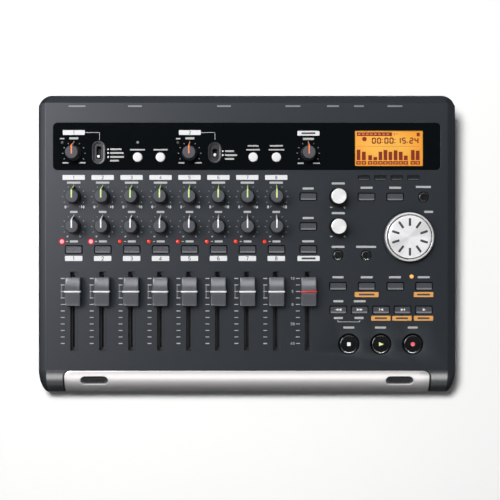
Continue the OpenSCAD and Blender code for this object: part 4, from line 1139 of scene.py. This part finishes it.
for x in (-77.8, -15.7):
    place_rear(tube(10.6, 10.0, 71, 92.0, 75, 0.1), 0, x, 20.9)
    place_rear(lathe([(10.6, 92.05), (12.0, 92.05), (12.0, 93.2), (11.75, 93.55), (11.3, 93.65), (9.6, 93.65), (9.3, 93.4), (9.2, 93.0), (9.2, 85.0),
                      (7.9, 85.0), (7.9, 92.6), (7.75, 92.9), (7.5, 93.0)], 64, caps=False), 0, x, 20.9)
    pins = [(5.6 * math.cos(math.radians(a)), 5.6 * math.sin(math.radians(a))) for a in (90, 210, 330)]
    place_rear(flat(circle(7.5, 64), [circle(3.6, 64)] + [circle(1.2, 20, *c) for c in pins], 93.0), 0, x, 20.9)
    place_rear(lathe([(3.6, 93.0), (3.25, 92.65), (3.25, 76.0), (0.0, 76.0)], 64, caps=False), 0, x, 20.9)
    for c in pins:
        v, f = lathe([(1.2, 93.0), (1.2, 84.0), (0.0, 84.0)], 20, caps=False)
        place_rear(([(p[0] + c[0], p[1] + c[1], p[2]) for p in v], f), 0, x, 20.9)
        v, f = lathe([(1.62, 93.0), (1.6, 93.08), (1.28, 93.08), (1.2, 92.95)], 20, caps=False)
        place_rear(([(p[0] + c[0], p[1] + c[1], p[2]) for p in v], f), 1, x, 20.9)
    place_rear(block(4.2, 2.0, 0.5, 93.3, 93.8, 0.15, 0, 10.4), 2, x, 20.9)
for x in (-118.8, 60.1):
    place_rear(lathe([(4.4, 85.0), (4.4, 94.1), (4.5, 94.2), (4.4, 94.3), (4.4, 94.4), (4.5, 94.5), (4.4, 94.6), (4.4, 94.75), (4.15, 95.0), (3.5, 95.0), (3.25, 94.75)],
                     48, caps=False), 1, x, 16)
    place_rear(lathe([(3.25, 94.75), (3.25, 74.0), (0.0, 74.0)], 48, caps=False), 0, x, 16)
    place_rear(loft([ring(circle(6.6, 6), 92.05), ring(circle(6.6, 6), 93.7), ring(circle(6.3, 6), 94.0)], False, False), 1, x, 16)
    place_rear(flat(circle(6.3, 6), [circle(4.4, 48)], 94.0), 1, x, 16)
    place_rear(lathe([(7.1, 92.0), (7.2, 92.06), (7.1, 92.2), (4.4, 92.3)], 40, caps=False), 1, x, 16)
for x, mt in ((26, 3), (40, 4)):
    place_rear(lathe([(4.1, 92.05), (5.6, 92.05), (5.6, 93.1), (5.35, 93.4), (4.1, 93.4)], 48, caps=False), mt, x, 16)
    place_rear(tube(4.1, 3.4, 85, 100.6, 94.0), 1, x, 16)
    place_rear(tube(3.35, 1.65, 93.8, 99.6, 94.5, 0.15, 32), 0, x, 16)
place_rear(loft([ring(rrect(9, 9, 0.8), 80.0), ring(rrect(9, 9, 0.8), 92.5), ring(rrect(8.4, 8.4, 0.5), 92.8)], True, False), 0, 78.3, 16)
place_rear(flat(rrect(8.4, 8.4, 0.5), [circle(3.1, 40)], 92.8), 0, 78.3, 16)
place_rear(lathe([(3.1, 92.8), (2.9, 92.6), (2.9, 83.0), (0.0, 83.0)], 40, caps=False), 2, 78.3, 16)
place_rear(lathe([(1.0, 82.9), (1.0, 91.35), (0.85, 91.55), (0.0, 91.6)], 20), 1, 78.3, 16)
# card and data sockets on the front edge of the main board
sock.add(open_box(28.5, 3.7, 24.6, 2.3, -98.5, -69.5, -76.0, 92, 11.15, 11.15), 0)
for k in range(9):
    sock.add(block(1.2, 5.0, 0.1, 9.95, 10.15, 0.05, 92 - 9.6 + 2.4 * k, -84.0), 1)
sock.add(open_box(9.0, 4.1, 7.4, 2.7, -98.5, -87.5, -91.0, 62, 11.35, 11.35), 1)
sock.add(block(5.4, 6.0, 0.1, 11.0, 11.7, 0.1, 62, -94.2), 0)
sock.make("socket_set", [M_SOCK, M_NICKEL, M_INK, M_PHW, M_PHR], "chassis", None, "socket", ["sockets"])

feet = Geo()
for x in (-118, 118):
    for y in (-82, 82):
        feet.add(lathe([(0.0, 0.35), (5.2, 0.35), (5.6, 0.1), (6.0, 0.0), (7.0, 0.0), (7.6, 0.25), (8.0, 0.8), (8.0, 2.6), (7.8, 3.0), (0.0, 3.0)], 48), 0, (x, y))
feet.make("feet", [M_RUBBER], "chassis", None, "foot", ["rubber_feet"])

# ------------------------------------------------------------------ CAD nodes that stay in view
# the potentiometers take the near-black pot colour: painted shade inside the fader slots
for node, mt in (("lower_case", M_BASE), ("mic_capsules", M_CAPSULE), ("circuit_boards", M_BOARD), ("potentiometers", M_POT_SLOT_SHADE), ("key_switches", M_SWB),
                 ("rear_panel", M_REAR), ("case_screws", M_SCREW)):
    me = NODES[node].data
    me.materials.clear()
    me.materials.append(mt)

# ------------------------------------------------------------------ floor, light, camera
bm = bmesh.new()
bmesh.ops.create_grid(bm, x_segments=1, y_segments=1, size=4.0)
me = bpy.data.meshes.new("floor")
bm.to_mesh(me)
bm.free()
floor = bpy.data.objects.new("floor", me)
bpy.context.scene.collection.objects.link(floor)
m_floor = material("floor_white", (0.985, 0.985, 0.985), rough=0.8, spec=0.0, var=0.01, var_scale=4, bump=0.0)
me.materials.append(m_floor)

world = bpy.data.worlds.new("studio")
bpy.context.scene.world = world
world.use_nodes = True
wn = world.node_tree
bg = wn.nodes["Background"]
w_tc = wn.nodes.new("ShaderNodeTexCoord")
w_sep = wn.nodes.new("ShaderNodeSeparateXYZ")
w_ramp = wn.nodes.new("ShaderNodeValToRGB")
wn.links.new(w_tc.outputs["Generated"], w_sep.inputs["Vector"])
w_map = wn.nodes.new("ShaderNodeMapRange")
w_map.inputs["From Min"].default_value = -1.0
wn.links.new(w_sep.outputs["Z"], w_map.inputs["Value"])
wn.links.new(w_map.outputs["Result"], w_ramp.inputs["Fac"])
wn.links.new(w_ramp.outputs["Color"], bg.inputs["Color"])
els = w_ramp.color_ramp.elements
for pos, k in ((0.0, 0.03), (0.46, 0.04), (0.53, 0.34), (0.64, 0.31), (0.82, 0.065), (1.0, 0.026)):
    e = els[0] if pos == 0.0 else (els[-1] if pos == 1.0 else els.new(pos))
    e.position = pos
    e.color = (0.96 * k, 0.98 * k, k, 1.0)
bg.inputs["Strength"].default_value = 1.0


def area(name, loc, target, size_x, size_y, power, col=(1, 1, 1)):
    d = bpy.data.lights.new(name, "AREA")
    d.shape = "RECTANGLE"
    d.size, d.size_y = size_x, size_y
    d.energy = power
    d.color = col
    o = bpy.data.objects.new(name, d)
    bpy.context.scene.collection.objects.link(o)
    o.location = loc
    o.rotation_euler = (Vector(target) - Vector(loc)).to_track_quat("-Z", "Y").to_euler()
    return o


top = area("soft_top", (-0.19, 0.26, 1.20), (0, 0, 0.02), 0.28, 0.28, 15.8, (1.0, 0.995, 0.985))
top.visible_glossy = False
sheen = area("sheen_left", (-0.58, 0.21, 0.88), (0, 0, 0.03), 0.62, 0.46, 16.2, (0.94, 0.925, 1.0))
sheen.visible_diffuse = False
back = area("rear_card", (0.15, 0.51, 0.94), (0.15, 0, 0.03), 0.80, 0.25, 3.75)
back.visible_diffuse = False
card = area("front_card", (0.0, -0.725, 0.755), (0, -0.08, 0.03), 1.8, 0.5, 8.0)
card.visible_diffuse = False
side = area("fill_right", (1.0, 0.2, 0.8), (0, 0, 0.03), 0.6, 0.9, 0.5)
side.visible_diffuse = False
# narrow strip in front that only draws the edge glints of the glossy round keys
strip = area("key_strip", (0.09, -0.62, 0.42), (0.09, -0.06, 0.035), 0.62, 0.06, 20.0)
strip.visible_diffuse = False
lit = bpy.data.collections.new("gloss_keys")
for o in gloss_keys:
    lit.objects.link(o)
strip.light_linking.receiver_collection = lit
floor.visible_glossy = False

scene = bpy.context.scene
scene.view_settings.view_transform = "Standard"
cam_data = bpy.data.cameras.new("camera")
cam_data.sensor_width = 36.0
cam_data.sensor_fit = "HORIZONTAL"
CAM_D = 0.960
cam_data.lens = 36.0 * (CAM_D * 1000 / 0.6976) / 500.0
cam_data.clip_start, cam_data.clip_end = 0.05, 20.0
cam = bpy.data.objects.new("camera", cam_data)
scene.collection.objects.link(cam)
# square to the sloped surface, as in the photograph
cam.matrix_world = PANEL @ Matrix.Translation((0.0022, -0.0043, CAM_D))
scene.camera = cam
